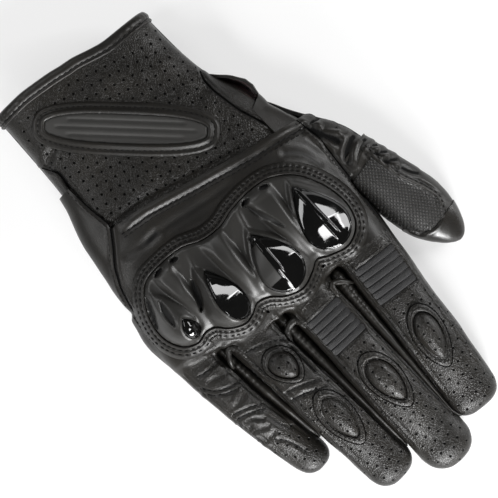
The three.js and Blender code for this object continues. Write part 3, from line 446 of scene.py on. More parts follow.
def rounded(angle, power):
    """Across and high round a squarish ring. A lower power is squarer."""
    return tuple(np.sign(v) * np.abs(v) ** power for v in (np.cos(angle), np.sin(angle)))


def ring_shape(sides, roundness):
    return rounded(2 * np.pi * np.arange(sides) / sides, 2 / roundness)


def closed_tube(rows):
    """Vertices and faces of a tube through rows of points (row, point, xyz), closed at both ends."""
    count, sides = rows.shape[:2]
    index = np.arange(count * sides).reshape(count, sides)
    turned = np.roll(index, -1, axis=1)
    quads = np.stack([index[:-1], turned[:-1], turned[1:], index[1:]], axis=-1).reshape(-1, 4)
    faces = quads.tolist() + [index[0][::-1].tolist(), index[-1].tolist()]
    return rows.reshape(-1, 3), faces


def hand_tube(start, sides=96, spacing=2.0):
    """The hand from y=start to the webs between the fingers. Its far rings are bent to the line of the webs."""
    shape_x, shape_z = ring_shape(sides, HAND_ROUNDNESS)
    rows = []
    for y in np.arange(start, 44.01, spacing):
        x, z, half, deep = (float(v[0]) for v in hand_section(y))
        place_x = x + half * shape_x
        web = np.interp(place_x, WEB_LINE[:, 0], WEB_LINE[:, 1])
        place_y = np.where(y > 0, y * web / 44, y)
        x, z, half, deep = hand_section(place_y)
        rows.append(np.stack([x + half * shape_x, place_y, z + deep * shape_z], axis=1))
    return closed_tube(np.array(rows))


SKIN_GROWN = 0.3


def digit_tube(digit, sides=56, spacing=2.0):
    shape_x, shape_z = ring_shape(sides, FINGER_ROUNDNESS)
    straight = digit["reach"] - digit["tip"]
    tip = straight + digit["tip"] * np.array([0.12, 0.24, 0.36, 0.48, 0.6, 0.7, 0.79, 0.87, 0.93, 0.97,
                                              0.992])
    rows = []
    for s in [*np.arange(-24, straight, spacing), *tip]:
        x, z, half, deep = (float(v[0]) for v in digit_section(digit, s, SKIN_GROWN))
        across = x + half * shape_x
        place_x, place_y = out_of_digit(digit, across, np.full(sides, s))
        rows.append(np.stack([place_x, place_y, z + deep * shape_z], axis=1))
    return closed_tube(np.array(rows))


def thenar_tube(sides=64, spacing=2.0):
    shape_x, shape_z = ring_shape(sides, HAND_ROUNDNESS)
    rows = []
    for y in [*np.arange(-58, THENAR_END, spacing), THENAR_END]:
        x, z, half, deep = (float(v[0]) for v in hand_section(y, table=THENAR))
        rows.append(np.stack([x + half * shape_x, np.full(sides, y), z + deep * shape_z], axis=1))
    return closed_tube(np.array(rows))


def merged_skin(tubes, voxel):
    """One surface round overlapping tubes: (vertices, triangles)."""
    points, faces = [], []
    for tube_points, tube_faces in tubes:
        base = sum(len(p) for p in points)
        points.append(tube_points)
        faces += [[base + i for i in face] for face in tube_faces]
    mesh = bpy.data.meshes.new("skin_tubes")
    mesh.from_pydata(np.vstack(points).tolist(), [], faces)
    source = bpy.data.objects.new("skin_tubes", mesh)
    bpy.context.scene.collection.objects.link(source)
    remesh = source.modifiers.new("one_skin", "REMESH")
    remesh.mode, remesh.voxel_size, remesh.adaptivity = "VOXEL", voxel, 0
    shape = source.evaluated_get(bpy.context.evaluated_depsgraph_get()).to_mesh()
    shape.calc_loop_triangles()
    out = np.empty(len(shape.vertices) * 3)
    shape.vertices.foreach_get("co", out)
    triangles = np.empty(len(shape.loop_triangles) * 3, np.int64)
    shape.loop_triangles.foreach_get("vertices", triangles)
    bpy.data.objects.remove(source)
    bpy.data.meshes.remove(mesh)
    return out.reshape(-1, 3), triangles.reshape(-1, 3)


def gathered(index, values, count):
    """The sum of rows of values by index."""
    return np.stack([np.bincount(index, values[:, k], count) for k in range(values.shape[1])], axis=1)


def vertex_normals(points, triangles):
    a, b, c = (points[triangles[:, k]] for k in range(3))
    facing = np.cross(b - a, c - a)
    total = sum(gathered(triangles[:, k], facing, len(points)) for k in range(3))
    return total / np.maximum(np.linalg.norm(total, axis=1, keepdims=True), 1e-9)


def smoothed(points, triangles, rounds, strength=0.5):
    edges = np.unique(np.sort(np.vstack([triangles[:, [0, 1]], triangles[:, [1, 2]], triangles[:, [2, 0]]]),
                              axis=1), axis=0)
    ends = np.concatenate([edges[:, 0], edges[:, 1]])
    others = np.concatenate([edges[:, 1], edges[:, 0]])
    degree = np.bincount(ends, minlength=len(points))[:, None]
    for _ in range(rounds):
        points = points + strength * (gathered(ends, points[others], len(points)) / degree - points)
    return points


def rolling(points, seed, wavelength, count=14):
    """Smooth random lumps between about -1 and 1, from waves in seeded directions."""
    random = np.random.default_rng(seed)
    total = np.zeros(len(points))
    for _ in range(count):
        direction = random.normal(size=3)
        direction /= np.linalg.norm(direction)
        length = wavelength * random.uniform(0.7, 1.6)
        total += np.sin(points @ direction * (2 * np.pi / length) + random.uniform(0, 2 * np.pi))
    return total / math.sqrt(count) / 1.4


def plan_line(pixels, spacing=0.8):
    """A smooth line through places given in pixels of the photograph: across and along the hand from its middle."""
    corners = np.array(pixels, float) * PIXEL
    knots = np.concatenate([[0], np.cumsum(np.linalg.norm(np.diff(corners, axis=0), axis=1))])
    fine = np.linspace(0, knots[-1], max(int(knots[-1] / spacing), 4))
    line = np.stack([np.interp(fine, knots, corners[:, k]) for k in (0, 1)], axis=1)
    for _ in range(3):
        line[1:-1] = (line[:-2] + 2 * line[1:-1] + line[2:]) / 4
    return line


def beside(points, line):
    """Signed distance of points from a line in plan (positive on its left), and the share along it."""
    best = np.full(len(points), 1e9)
    side, share = np.zeros(len(points)), np.zeros(len(points))
    steps = np.diff(line, axis=0)
    for k, (start, step) in enumerate(zip(line[:-1], steps)):
        length = float(step @ step)
        off = points[:, :2] - start
        t = np.clip(off @ step / length, 0, 1)
        away = off - t[:, None] * step
        distance = np.hypot(away[:, 0], away[:, 1])
        nearer = distance < best
        best = np.where(nearer, distance, best)
        side = np.where(nearer, np.sign(step[0] * off[:, 1] - step[1] * off[:, 0]), side)
        share = np.where(nearer, (k + t) / len(steps), share)
    return best * side, share


FOLD_TAPER = 0.12


def embossed(points, normals, line, kind, depth, width):
    """Distances to move points along their normals, so that a line shows as a seam, welt, fold or gather."""
    low, high = line.min(0) - 4 * width, line.max(0) + 4 * width
    near = np.all((points[:, :2] > low) & (points[:, :2] < high), axis=1)
    near &= normals[:, 2] > 0.05
    move = np.zeros(len(points))
    where = np.nonzero(near)[0]
    if not len(where):
        return move
    signed, share = beside(points[where], line)
    off = signed / width
    fade = np.clip(share / FOLD_TAPER, 0, 1) * np.clip((1 - share) / FOLD_TAPER, 0, 1)
    if kind == "seam":
        shape = -np.exp(-(off ** 2)) + 0.3 * np.exp(-((np.abs(off) - 2.0) ** 2))
    elif kind == "welt":
        shape = np.exp(-(off ** 2)) - 0.35 * np.exp(-((off + 1.9) ** 2) * 1.2)
    else:
        shape = -np.exp(-(off ** 2)) + 0.7 * np.exp(-((off - 1.8) ** 2)) + 0.4 * np.exp(-((off + 1.8) ** 2))
    move[where] = depth * shape * fade
    return move


VOXEL = 0.75
HEM_ROLL = 4.2
THUMB_TUCK = -8.0
WELT_ANGLE = math.radians(40)
skin, skin_faces = merged_skin(
    [hand_tube(-75.0), thenar_tube(), *(digit_tube(DIGITS[name]) for name in DIGITS if name != "thumb")],
    VOXEL
)
thumb_skin, thumb_faces = merged_skin([digit_tube(DIGITS["thumb"])], VOXEL)
is_thumb = np.arange(len(skin) + len(thumb_skin)) >= len(skin)
skin_faces = np.vstack([skin_faces, thumb_faces + len(skin)])
skin = smoothed(np.vstack([skin, thumb_skin]), skin_faces, 14)
finger_share = []
for digit in list(DIGITS.values())[:4]:
    across, along = in_digit(digit, skin)
    x, _, half, _ = digit_section(digit, np.minimum(along, digit["reach"] - digit["tip"]))
    finger_share.append(np.abs(across - x) / np.maximum(half, 0.1))
for k, digit in enumerate(list(DIGITS.values())[:4]):
    across, along = in_digit(digit, skin)
    here = ~is_thumb & (along > 38) & (np.argmin(finger_share, axis=0) == k)
    x = digit_section(digit, along[here])[0]
    broader = 1 + 0.06 * np.clip((along[here] - 38) / 25, 0, 1)
    longer = 1.6 * np.clip((along[here] - 55) / (digit["reach"] - 58), 0, 1) ** 1.5
    skin[here, :2] = np.stack(out_of_digit(digit, x + (across[here] - x) * broader, along[here] + longer),
                              axis=1)
root_bulge = np.exp(-(((skin[:, :2] - (59, -11)) / (7, 8)) ** 2).sum(1)) * ~is_thumb
skin[:, 0] -= 2.0 * root_bulge * np.clip((skin[:, 0] - 46) / 6, 0, 1)
skin_normals = vertex_normals(skin, skin_faces)


def owner_of(points, thumb):
    """Which finger a point belongs to (4 is the thumb, -1 the hand), and its place across and along that finger."""
    owner = np.full(len(points), -1)
    place = np.zeros((len(points), 2))
    nearest = np.full(len(points), 2.2)
    for k, (name, digit) in enumerate(DIGITS.items()):
        across, along = in_digit(digit, points)
        if name == "thumb":
            inside = thumb
        else:
            x, _, half, _ = digit_section(digit, np.minimum(along, digit["reach"] - digit["tip"]))
            off = np.abs(across - x) - half
            inside = ~thumb & (along > ROOT_CUT[name] - 0.05) & (off < nearest)
            nearest[inside] = off[inside]
        owner[inside] = k
        place[inside] = np.stack([across, along], axis=1)[inside]
    return owner, place


def seam_height(points, owner, place):
    """Height of the side seams: the middle of the section."""
    height = hand_section(points[:, 1])[1]
    for k, digit in enumerate(DIGITS.values()):
        mine = owner == k
        height[mine] = digit_section(digit, place[mine, 1])[1]
    return height


def round_angle(digit, across, along, height):
    """The angle round a finger's section, 0 at its sides and 90 degrees along the middle of its back."""
    x, z, half, deep = digit_section(digit, along)
    flat = np.abs((across - x) / np.maximum(half, 0.1)) ** (FINGER_ROUNDNESS / 2)
    tall = np.abs((height - z) / np.maximum(deep, 0.1)) ** (FINGER_ROUNDNESS / 2)
    return np.arctan2(tall, flat) * np.sign(height - z)


STRETCH_WINDOWS = {"index": (16.4, 35.2), "middle": (17.0, 35.6)}
STRETCH_SHARE = 0.78
FINGER_LENGTH_SEAMS = {"index": (7, 84), "middle": (7, 90), "ring": (7, 86), "little": (5, 68)}

# Seams, folds and gathers of the back of the glove, each as kind, depth, width and places in photograph
# pixels. The first two lines are the seams beside the thumb and the side panel, and the next three are the
# gaps' roots.
LINES = [
    ("seam", 0.9, 0.75, [(-117, 70), (-121, 30), (-124, -5), (-127, -38), (-122, -64)]),
    ("seam", 0.9, 0.75, [(x / PIXEL, y / PIXEL) for x, y in SIDE_SEAM]),
    ("welt", 0.5, 0.9, [(-53, 92), (-52, 80), (-43, 71), (-34, 80), (-33, 92)]),
    ("welt", 0.5, 0.9, [(12, 92), (13, 80), (22, 71), (29, 80), (31, 92)]),
    ("welt", 0.5, 0.9, [(75, 74), (76, 60), (84, 51), (91, 60), (93, 74)]),
    ("fold", 0.4, 1.2, [(123.5, 67), (110.5, 70), (97, 73.5)]),
    ("fold", 0.4, 1.3, [(118, 104), (108, 102), (99, 100)]),
    ("fold", 0.6, 1.1, [(114, 123), (104, 134)]), ("fold", 0.6, 1.1, [(122, 127), (113, 135), (103, 142)]),
    ("fold", 0.5, 1.1, [(122, 134), (113, 140), (104, 146)]),
    ("fold", 0.6, 1.1, [(127, 140), (117, 145), (104, 150)]),
    ("fold", 0.5, 1.1, [(126, 146), (116, 150), (107, 152)]),
    ("seam", 0.7, 0.7, [(125, 116), (129, 124), (128, 133), (126, 142)]),
    ("fold", 0.5, 1.3, [(100, 131), (97, 146), (91, 160)]),
    ("fold", 0.25, 1.4, [(60, 118), (66, 106), (70, 92)]),
    ("fold", 0.25, 1.4, [(40, 90), (52, 84), (66, 81)]),
    ("fold", 0.25, 1.4, [(62, 138), (52, 146), (44, 154)]),
    ("seam", 0.3, 0.55, [(-108, 80), (-82, 76), (-58, 80)]),
    ("seam", 0.3, 0.55, [(-28, 82), (-10, 78), (8, 82)]),
    ("fold", 0.5, 2.0, [(-112, -10), (-104, -35), (-86, -52)]),
    ("fold", 0.4, 2.4, [(-40, -58), (0, -64), (40, -72), (80, -74)]),
    ("fold", 0.4, 2.0, [(110, 20), (113, -10), (108, -38)]),
    ("fold", 0.4, 2.0, [(50, -78), (75, -76), (100, -80)]),
    ("fold", 1.8, 1.7, [(-140, -16), (-136, -28), (-129, -40), (-127, -52)]),
    ("fold", 1.1, 1.5, [(-158, -14), (-148, -12), (-137, -6), (-128, 4)]),
    ("fold", 0.8, 1.4, [(-150, -30), (-143, -34), (-136, -42)]),
    ("fold", 0.7, 1.6, [(-141, -48), (-134, -54), (-128, -64)]),
]
# Rows of thread sewn into the same skin, each in a shallow groove that its pull draws into the hide.
# The stitches themselves are laid further down, panel by panel.
SEWN_LINES = [
    [(79, 70), (59, 75), (45, 81), (34, 88), (29.5, 99), (28.5, 117), (28, 137)],
    [(35, 96), (34, 114), (34.5, 134)],
    [(76, 127), (58, 131), (34, 142)], [(76, 135.5), (56, 141.5), (34, 152)],
    [(74, 80), (74, 105), (74, 126)],
    [(80, 82), (80, 104), (80.5, 128)], [(133, 63.5), (122, 79), (110, 85), (94, 89)],
    [(136, 67), (126, 81), (113, 89), (98, 93.5)], [(126, 56), (115, 59), (97, 59.5)],
    [(126, 108), (110, 112.5), (94, 121)], [(126, 114), (111, 118), (95, 126.5)],
    [(112, 153), (103, 164), (98, 178), (97, 188)],
]
THUMB_LINES = [
    ("welt", 0.8, 0.9, [(-152, 0), (-154, 22), (-159, 48), (-168, 68), (-174, 88), (-166, 106)]),
    ("seam", 0.6, 0.6, [(-157, 2), (-159, 24), (-164, 50), (-173, 70), (-179, 90)]),
    ("seam", 0.8, 0.7, [(-166, 106), (-152, 109), (-138, 105), (-131, 92)]),
    ("fold", 0.9, 1.3, [(-171, 34), (-162, 28), (-156, 27)]),
    ("fold", 0.9, 1.2, [(-169, 22), (-162, 16), (-156, 15)]),
    ("fold", 0.9, 1.2, [(-167, 10), (-160, 5), (-155, 5)]),
    ("fold", 0.8, 1.4, [(-178, 60), (-171, 52), (-166, 40)]),
    ("fold", 1.0, 1.5, [(-165, -2), (-152, -4), (-138, 1), (-128, 8)]),
]
move = np.zeros(len(skin))
for lines, mask in ((LINES + [("seam", 0.65, 0.6, pixels) for pixels in SEWN_LINES], ~is_thumb),
                    (THUMB_LINES, is_thumb)):
    for kind, depth, width, pixels in lines:
        move += embossed(skin, skin_normals, plan_line(pixels), kind, depth, width) * mask
owner, place = owner_of(skin, is_thumb)
for k, (name, digit) in enumerate(DIGITS.items()):
    mine = np.nonzero(owner == k)[0]
    across, along = place[mine].T
    angle = round_angle(digit, across, along, skin[mine, 2])
    radius = 0.55 * (digit_section(digit, along)[2] + digit_section(digit, along)[3])
    side_seam = np.exp(-(((skin[mine, 2] - digit_section(digit, along)[1]) / 0.7) ** 2))
    fade = np.clip((along - ROOT_CUT[name]) / 4, 0, 1)
    extra = -0.45 * side_seam * fade
    if name in FINGER_LENGTH_SEAMS:
        start, stop = FINGER_LENGTH_SEAMS[name]
        off = (angle - WELT_ANGLE) * radius
        run = np.clip((along - start) / 5, 0, 1) * np.clip((stop - along) / 7, 0, 1)
        extra += run * (0.5 * np.exp(-((off / 0.75) ** 2)) - 0.55 * np.exp(-(((off + 1.7) / 0.8) ** 2))
                        - 0.25 * np.exp(-(((off - 1.5) / 0.6) ** 2)))
    if name in STRETCH_WINDOWS:
        start, stop = STRETCH_WINDOWS[name]
        x, _, half, _ = digit_section(digit, along)
        inside = np.minimum(np.minimum(along - start, stop - along),
                            STRETCH_SHARE * half - np.abs(across - x))
        top = skin_normals[mine, 2] > 0
        extra -= top * 1.1 / (1 + np.exp(-inside / 0.28))
    move[mine] += extra
from_hem = skin[:, 1] - hem_at(skin[:, 0])
roll = 0.9 * np.sin(np.pi * np.clip(from_hem / HEM_ROLL, 0,
                                    1)) ** 0.6 - 0.8 * np.exp(-(((from_hem - HEM_ROLL - 0.5) / 0.6) ** 2))
move += roll * ((owner < 0) & (skin_normals[:, 2] > 0.1) & ~is_thumb) * np.clip((35 - skin[:, 0]) / 6, 0, 1)
plain_skin = skin
# The skin's edge attribute: rub on raised ridges, and painted shade, as negative values, along sunk seams, folds and
# gathers.
groove_shade = np.clip((-move - 0.22) / 0.45, 0, 1)
window = np.zeros(len(skin), bool)
for k, (start, stop) in ((0, STRETCH_WINDOWS["index"]), (1, STRETCH_WINDOWS["middle"])):
    window |= (owner == k) & (place[:, 1] > start + 0.8) & (place[:, 1] < stop - 0.8)
groove_shade[window] = 0
move += 0.28 * rolling(skin, 3, 34.0) + 0.09 * rolling(skin, 4, 12.0) + 0.03 * rolling(skin, 5, 5.0)
skin = skin + skin_normals * move[:, None]
skin_normals = vertex_normals(skin, skin_faces)
ridge_rub_and_groove_shade = np.clip((move - 0.35) / 0.7, 0, 1) - groove_shade
skin_tree = BVHTree.FromPolygons(skin.tolist(), skin_faces.tolist())

# Where the finger leather is punched: a lattice across and along each finger, from a place on the finger to
# its tip. The skin is then cut along the seams into the panels of hide and suede.
HOLE_PITCH, HOLE_TURN = 4.3, math.radians(28)
PUNCHED_FROM = {"index": 36.5, "middle": 36.8, "ring": 43.0, "little": 54.0, "thumb": 99.0}


def lattice_of(across, along, pitch=HOLE_PITCH, turn=HOLE_TURN):
    return np.stack([(across * math.cos(turn) + along * math.sin(turn)) / pitch + 40,
                     (along * math.cos(turn) - across * math.sin(turn)) / pitch + 40, np.zeros(len(across))],
                     axis=1)


lattice = lattice_of(*place.T)
punched = np.zeros(len(skin))
for k, (name, digit) in enumerate(DIGITS.items()):
    mine = np.nonzero(owner == k)[0]
    angle = round_angle(digit, *place[mine].T, skin[mine, 2])
    punched[mine] = np.clip((place[mine, 1] - PUNCHED_FROM[name]) / 1.5, 0,
                            1) * np.clip((angle - 0.75) / 0.2, 0, 1)


def split_along(data, triangles, field):
    """Cuts the triangles where the field passes zero, so that a panel's edge is a clean line."""
    field = np.where(np.abs(field) < 0.08, 0, field)
    sign = np.sign(field)
    corner_signs = sign[triangles]
    crossing = (corner_signs.min(1) < 0) & (corner_signs.max(1) > 0)
    count, added, known, pieces = len(data), [], {}, []
    for triangle in triangles[crossing].tolist():
        loop = []
        for a, b in zip(triangle, triangle[1:] + triangle[:1]):
            loop.append(a)
            if sign[a] * sign[b] < 0:
                key = (min(a, b), max(a, b))
                if key not in known:
                    known[key] = count + len(added)
                    t = field[a] / (field[a] - field[b])
                    added.append(data[a] + (data[b] - data[a]) * t)
                loop.append(known[key])
        for side in (1, -1):
            part = [v for v in loop if v >= count or sign[v] * side >= 0]
            pieces += [(part[0], part[i], part[i + 1]) for i in range(1, len(part) - 1)]
    if added:
        data = np.vstack([data, added])
        triangles = np.vstack([triangles[~crossing], pieces])
    return data, triangles


def side_panel_field(points):
    seam_x = np.interp(points[:, 1], SIDE_SEAM[:, 1], SIDE_SEAM[:, 0])
    return np.minimum(points[:, 0] - seam_x, np.minimum(2.0 - points[:, 1], points[:, 1] + 72.0))


data = np.column_stack([skin, skin_normals, ridge_rub_and_groove_shade, lattice, punched, is_thumb])
triangles = skin_faces


def skin_place(data):
    owner, place = owner_of(data[:, :3], data[:, 11] > 0.5)
    return data[:, :3], owner, place


for k, (name, digit) in enumerate(DIGITS.items()):
    for level in (ROOT_CUT[name] if name != "thumb" else THUMB_TUCK, *digit["splits"]):
        points, owner, place = skin_place(data)
        across, along = in_digit(digit, points)
        lane = np.abs(across - digit_section(digit, along)[0]) < digit_section(digit, along)[2] + 2.2
        mine = lane & ((data[:, 11] > 0.5) == (name == "thumb"))
        data, triangles = split_along(data, triangles, np.where(mine, along - level, -50.0 * (level > 0) - 1))
points, owner, place = skin_place(data)
data, triangles = split_along(data, triangles, points[:, 2] - seam_height(points, owner, place))
points, owner, place = skin_place(data)
data, triangles = split_along(data, triangles, np.where(owner < 0, side_panel_field(points), -9.0))
points, owner, place = skin_place(data)
above = points[:, 2] > hand_section(points[:, 1])[1]
hem = np.where(above, points[:, 1] - hem_at(points[:, 0]), points[:, 1] - PALM_HEM_AT)
data, triangles = split_along(data, triangles, np.where(owner < 0, hem, 9.0))

centres = data[triangles].mean(axis=1)
points, owner, place = skin_place(centres)
upper = points[:, 2] > seam_height(points, owner, place)
panel_of = np.full(len(triangles), "", dtype=object)
side = (owner < 0) & (side_panel_field(points) > 0)
behind = hem_at(points[:, 0])
panel_of[(owner < 0) & upper & (points[:, 1] > behind)] = "back_panel"
panel_of[(owner < 0) & ~upper & (points[:, 1] > PALM_HEM_AT)] = "palm_panel"
panel_of[side] = "outer_side_panel"
for k, (name, digit) in enumerate(DIGITS.items()):
    links = ["base", "tip"] if name == "thumb" else ["base", "middle", "tip"]
    link = np.searchsorted(np.array(digit["splits"]), place[:, 1])
    for i, label in enumerate(links):
        for is_upper, face in ((True, "back"), (False, "palm")):
            keep = (owner == k) & (link == i) & (upper == is_upper)
            if name == "thumb":
                keep &= place[:, 1] > THUMB_TUCK
            panel_of[keep] = f"{name}_{face}_{label}"


def bead(centre, along, normal, length, radius):
    """One stitch: a short bead of thread that dips into the leather at both ends. With no length, a pinhole's disc."""
    along = along / np.linalg.norm(along)
    across = np.cross(normal, along)
    across /= np.linalg.norm(across)
    normal = np.cross(along, across)
    if not length:
        turns = np.arange(10) * math.pi / 5
        return ([centre + radius * (math.cos(a) * along + math.sin(a) * across) for a in turns],
                [normal] * 10,
                [tuple(range(9, -1, -1)) if np.dot(np.cross(along, across),
                                                   normal) < 0 else tuple(range(10))])
    rings = ((-0.5, -0.9, 0.35), (-0.34, 0.0, 0.9), (0.0, 0.35, 1.0), (0.34, 0.0, 0.9), (0.5, -0.9, 0.35))
    points, directions = [], []
    for share, rise, size in rings:
        middle = centre + along * length * share + normal * radius * rise
        for k in range(6):
            out = across * math.cos(k * math.pi / 3) + normal * math.sin(k * math.pi / 3)
            points.append(middle + out * radius * size)
            directions.append(out)
    faces = [(r * 6 + k, r * 6 + (k + 1) % 6, r * 6 + 6 + (k + 1) % 6, r * 6 + 6 + k)
             for r in range(len(rings) - 1) for k in range(6)]
    faces += [tuple(range(5, -1, -1)), tuple(range(24, 30))]
    return points, directions, faces


def dropped_on(tree, xy, top=80.0):
    """Where a point of the plan lands on a surface from above, and the surface's normal there."""
    hit, normal, _, _ = tree.ray_cast(Vector((xy[0], xy[1], top)), Vector((0, 0, -1)))
    return (None, None) if hit is None else (np.array(hit), np.array(normal))


def stitch_row(tree, line, pitch=2.5, length=1.75, radius=0.27, closed=False):
    """Beads along a line of the plan, laid on a surface from above. Each is (centre, along, normal, length, radius)."""
    line = np.asarray(line, float)
    if closed:
        line = np.vstack([line, line[:1]])
    run = np.concatenate([[0], np.cumsum(np.linalg.norm(np.diff(line[:, :2], axis=0), axis=1))])
    count = max(int(run[-1] / pitch), 1)
    beads = []
    for at in (np.arange(count) + 0.5) * run[-1] / count:
        ends = [np.array([np.interp(at + d, run, line[:, k]) for k in (0, 1)]) for d in (-0.6, 0.6)]
        (a, na), (b, nb) = dropped_on(tree, ends[0]), dropped_on(tree, ends[1])
        if a is None or b is None or abs(a[2] - b[2]) > 1.6:
            continue
        beads.append(((a + b) / 2, b - a, na + nb, length, radius))
    return beads


def punched_at(tree, spots, radius=0.47):
    """Pinholes where places of the plan land on a surface, as flat dark discs of painted shade just proud of it."""
    found = []
    for spot in spots:
        place, normal = dropped_on(tree, spot)
        if place is not None and normal[2] > 0.3:
            found.append((place + normal * 0.05, np.array([0.3, 1.0, 0.0]), normal, 0.0, radius))
    return found


def gap_row(tree, line, radius=0.26, closed=False):
    """Dark beads along a line of the plan that paint the shade in the gap of a seam between two hides."""
    return stitch_row(tree, line, pitch=1.5, length=1.9, radius=radius, closed=closed)


def lattice_spots(pitch, turn, low, high):
    """Cell centres of lattice_of, as across and along between two corners."""
    cells = (np.arange(120) + 0.5 - 40) * pitch
    u, v = np.meshgrid(cells, cells)
    across, along = u * math.cos(turn) - v * math.sin(turn), u * math.sin(turn) + v * math.cos(turn)
    keep = (across > low[0]) & (across < high[0]) & (along > low[1]) & (along < high[1])
    return across[keep], along[keep]


def shown_piece(name, points, normals, faces, attributes, finish, slot, beads=(), pits=(), nodes=()):
    """A mesh piece in the row frame, with its beads of thread and its pits, dark discs and beads of painted shade, as
    further materials.
    """
    points, faces = np.asarray(points, float), [tuple(face) for face in faces]
    thread_points, thread_normals, thread_faces = [], [], []
    for one in (*beads, *pits):
        centre, along, normal, length, radius = one
        more, directions, bead_faces = bead(centre, along, normal / np.linalg.norm(normal), length, radius)
        base = len(points) + len(thread_points)
        thread_faces += [tuple(base + i for i in face) for face in bead_faces]
        thread_points += more
        thread_normals += directions
    leather_faces = len(faces)
    if thread_points:
        points = np.vstack([points, thread_points])
        normals = np.vstack([normals, thread_normals])
    mesh = bpy.data.meshes.new(name)
    mesh.from_pydata(to_frame(points).tolist(), [], faces + thread_faces)
    mesh.materials.append(finish)
    if thread_points:
        mesh.materials.append(thread)
        # The third material is painted shade for the pits in holes and seam gaps.
        mesh.materials.append(hole_and_gap_shade)
        index = np.zeros(len(mesh.polygons), np.int32)
        index[leather_faces:] = 1
        index[leather_faces + len(beads) * 26:] = 2
        mesh.polygons.foreach_set("material_index", index)
    mesh.shade_smooth()
    for label, (kind, values) in attributes.items():
        layer = mesh.attributes.new(label, kind, "POINT")
        values = np.asarray(values, np.float32)
        padding = [(0, len(points) - len(values))] + [(0, 0)] * (values.ndim - 1)
        values = np.pad(values, padding)
        layer.data.foreach_set("value" if kind == "FLOAT" else "vector", values.ravel())
    mesh.update()
    mesh.normals_split_custom_set_from_vertices([tuple(n) for n in normals])
    piece = bpy.data.objects.new(name, mesh)
    bpy.context.scene.collection.objects.link(piece)
    if nodes:
        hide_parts(*nodes)
    return piece


def thick_panel(name, rows, triangles, thickness, **looks):
    """A panel of hide with real thickness from part of the skin. Its cut edges have their own faces."""
    used, inverse = np.unique(triangles, return_inverse=True)
    faces = inverse.reshape(-1, 3)
    rows = rows[used]
    points, normals = rows[:, :3], rows[:, 3:6]
    normals = normals / np.linalg.norm(normals, axis=1, keepdims=True)
    count = len(points)
    directed = np.vstack([faces[:, [0, 1]], faces[:, [1, 2]], faces[:, [2, 0]]])
    code = directed[:, 0] * count + directed[:, 1]
    lonely = directed[~np.isin(code, directed[:, 1] * count + directed[:, 0])]
    inner = points - normals * thickness
    ends = points[lonely]
    outward = np.cross(ends[:, 1] - ends[:, 0], normals[lonely].mean(axis=1))
    outward /= np.maximum(np.linalg.norm(outward, axis=1, keepdims=True), 1e-9)
    edge_points = np.concatenate([ends[:, 0], ends[:, 1], inner[lonely[:, 1]], inner[lonely[:, 0]]])
    edges = len(lonely)
    base = 2 * count
    rim = np.stack([base + np.arange(edges), base + 3 * edges + np.arange(edges),
                    base + 2 * edges + np.arange(edges),
                    base + edges + np.arange(edges)], axis=1)
    all_points = np.vstack([points, inner, edge_points])
    all_normals = np.vstack([normals, -normals, outward, outward, outward, outward])
    all_faces = faces.tolist() + (faces[:, ::-1] + count).tolist() + rim.tolist()
    attributes = {"edge": ("FLOAT", rows[:, 6]), "lattice": ("FLOAT_VECTOR", rows[:, 7:10]),
                  "punched": ("FLOAT", rows[:, 10])}
    return shown_piece(name, all_points, all_normals, all_faces, attributes, **looks)


# Rows of thread on the skin, by the panel that they are sewn into. Short stitches of bonded thread lie in
# each seam's groove, and the pinholes and the gaps between two hides get dark discs and beads of painted shade.
sewn = {name: [] for name in set(panel_of) if name}
pitted = {name: [] for name in sewn}


def offset_line(line, distance):
    step = np.gradient(line, axis=0)
    step /= np.linalg.norm(step, axis=1, keepdims=True)
    return line + np.stack([-step[:, 1], step[:, 0]], axis=1) * distance


hem_row = np.array([(x, hem_at(x) + HEM_ROLL + 0.5) for x in np.arange(-52, 37, 1.0)])
sewn["back_panel"] += stitch_row(skin_tree, hem_row, pitch=2.6, length=1.9, radius=0.36)
sewn["back_panel"] += stitch_row(skin_tree, hem_row + (0, 1.7), pitch=2.6, length=1.9, radius=0.33)
sewn["back_panel"] += stitch_row(skin_tree, offset_line(plan_line(LINES[0][3]), 1.5), pitch=2.2, length=1.4,
                                 radius=0.22)
side_line = plan_line([(x / PIXEL, y / PIXEL) for x, y in SIDE_SEAM])
sewn["outer_side_panel"] += stitch_row(skin_tree, offset_line(side_line, -1.6), pitch=2.2, length=1.4,
                                       radius=0.22)
for name, (start, stop) in STRETCH_WINDOWS.items():
    digit = DIGITS[name]
    for at, link in ((start - 1.3, "base"), (stop + 1.4, "middle")):
        x, _, half, _ = (float(v[0]) for v in digit_section(digit, at))
        ends = np.linspace(x - 0.8 * half, x + 0.8 * half, 12)
        line = np.stack(out_of_digit(digit, ends, np.full(12, at)), axis=1)
        sewn[f"{name}_back_{link}"] += stitch_row(skin_tree, line, pitch=2.1, length=1.4, radius=0.22)
panel_tree = KDTree(len(centres))
for i in np.nonzero(panel_of != "")[0].tolist():
    panel_tree.insert(centres[i, :3], i)
panel_tree.balance()
for pixels in SEWN_LINES:
    for one in stitch_row(skin_tree, plan_line(pixels), pitch=2.2, length=1.7, radius=0.32):
        sewn[panel_of[panel_tree.find(one[0])[1]]].append(one)
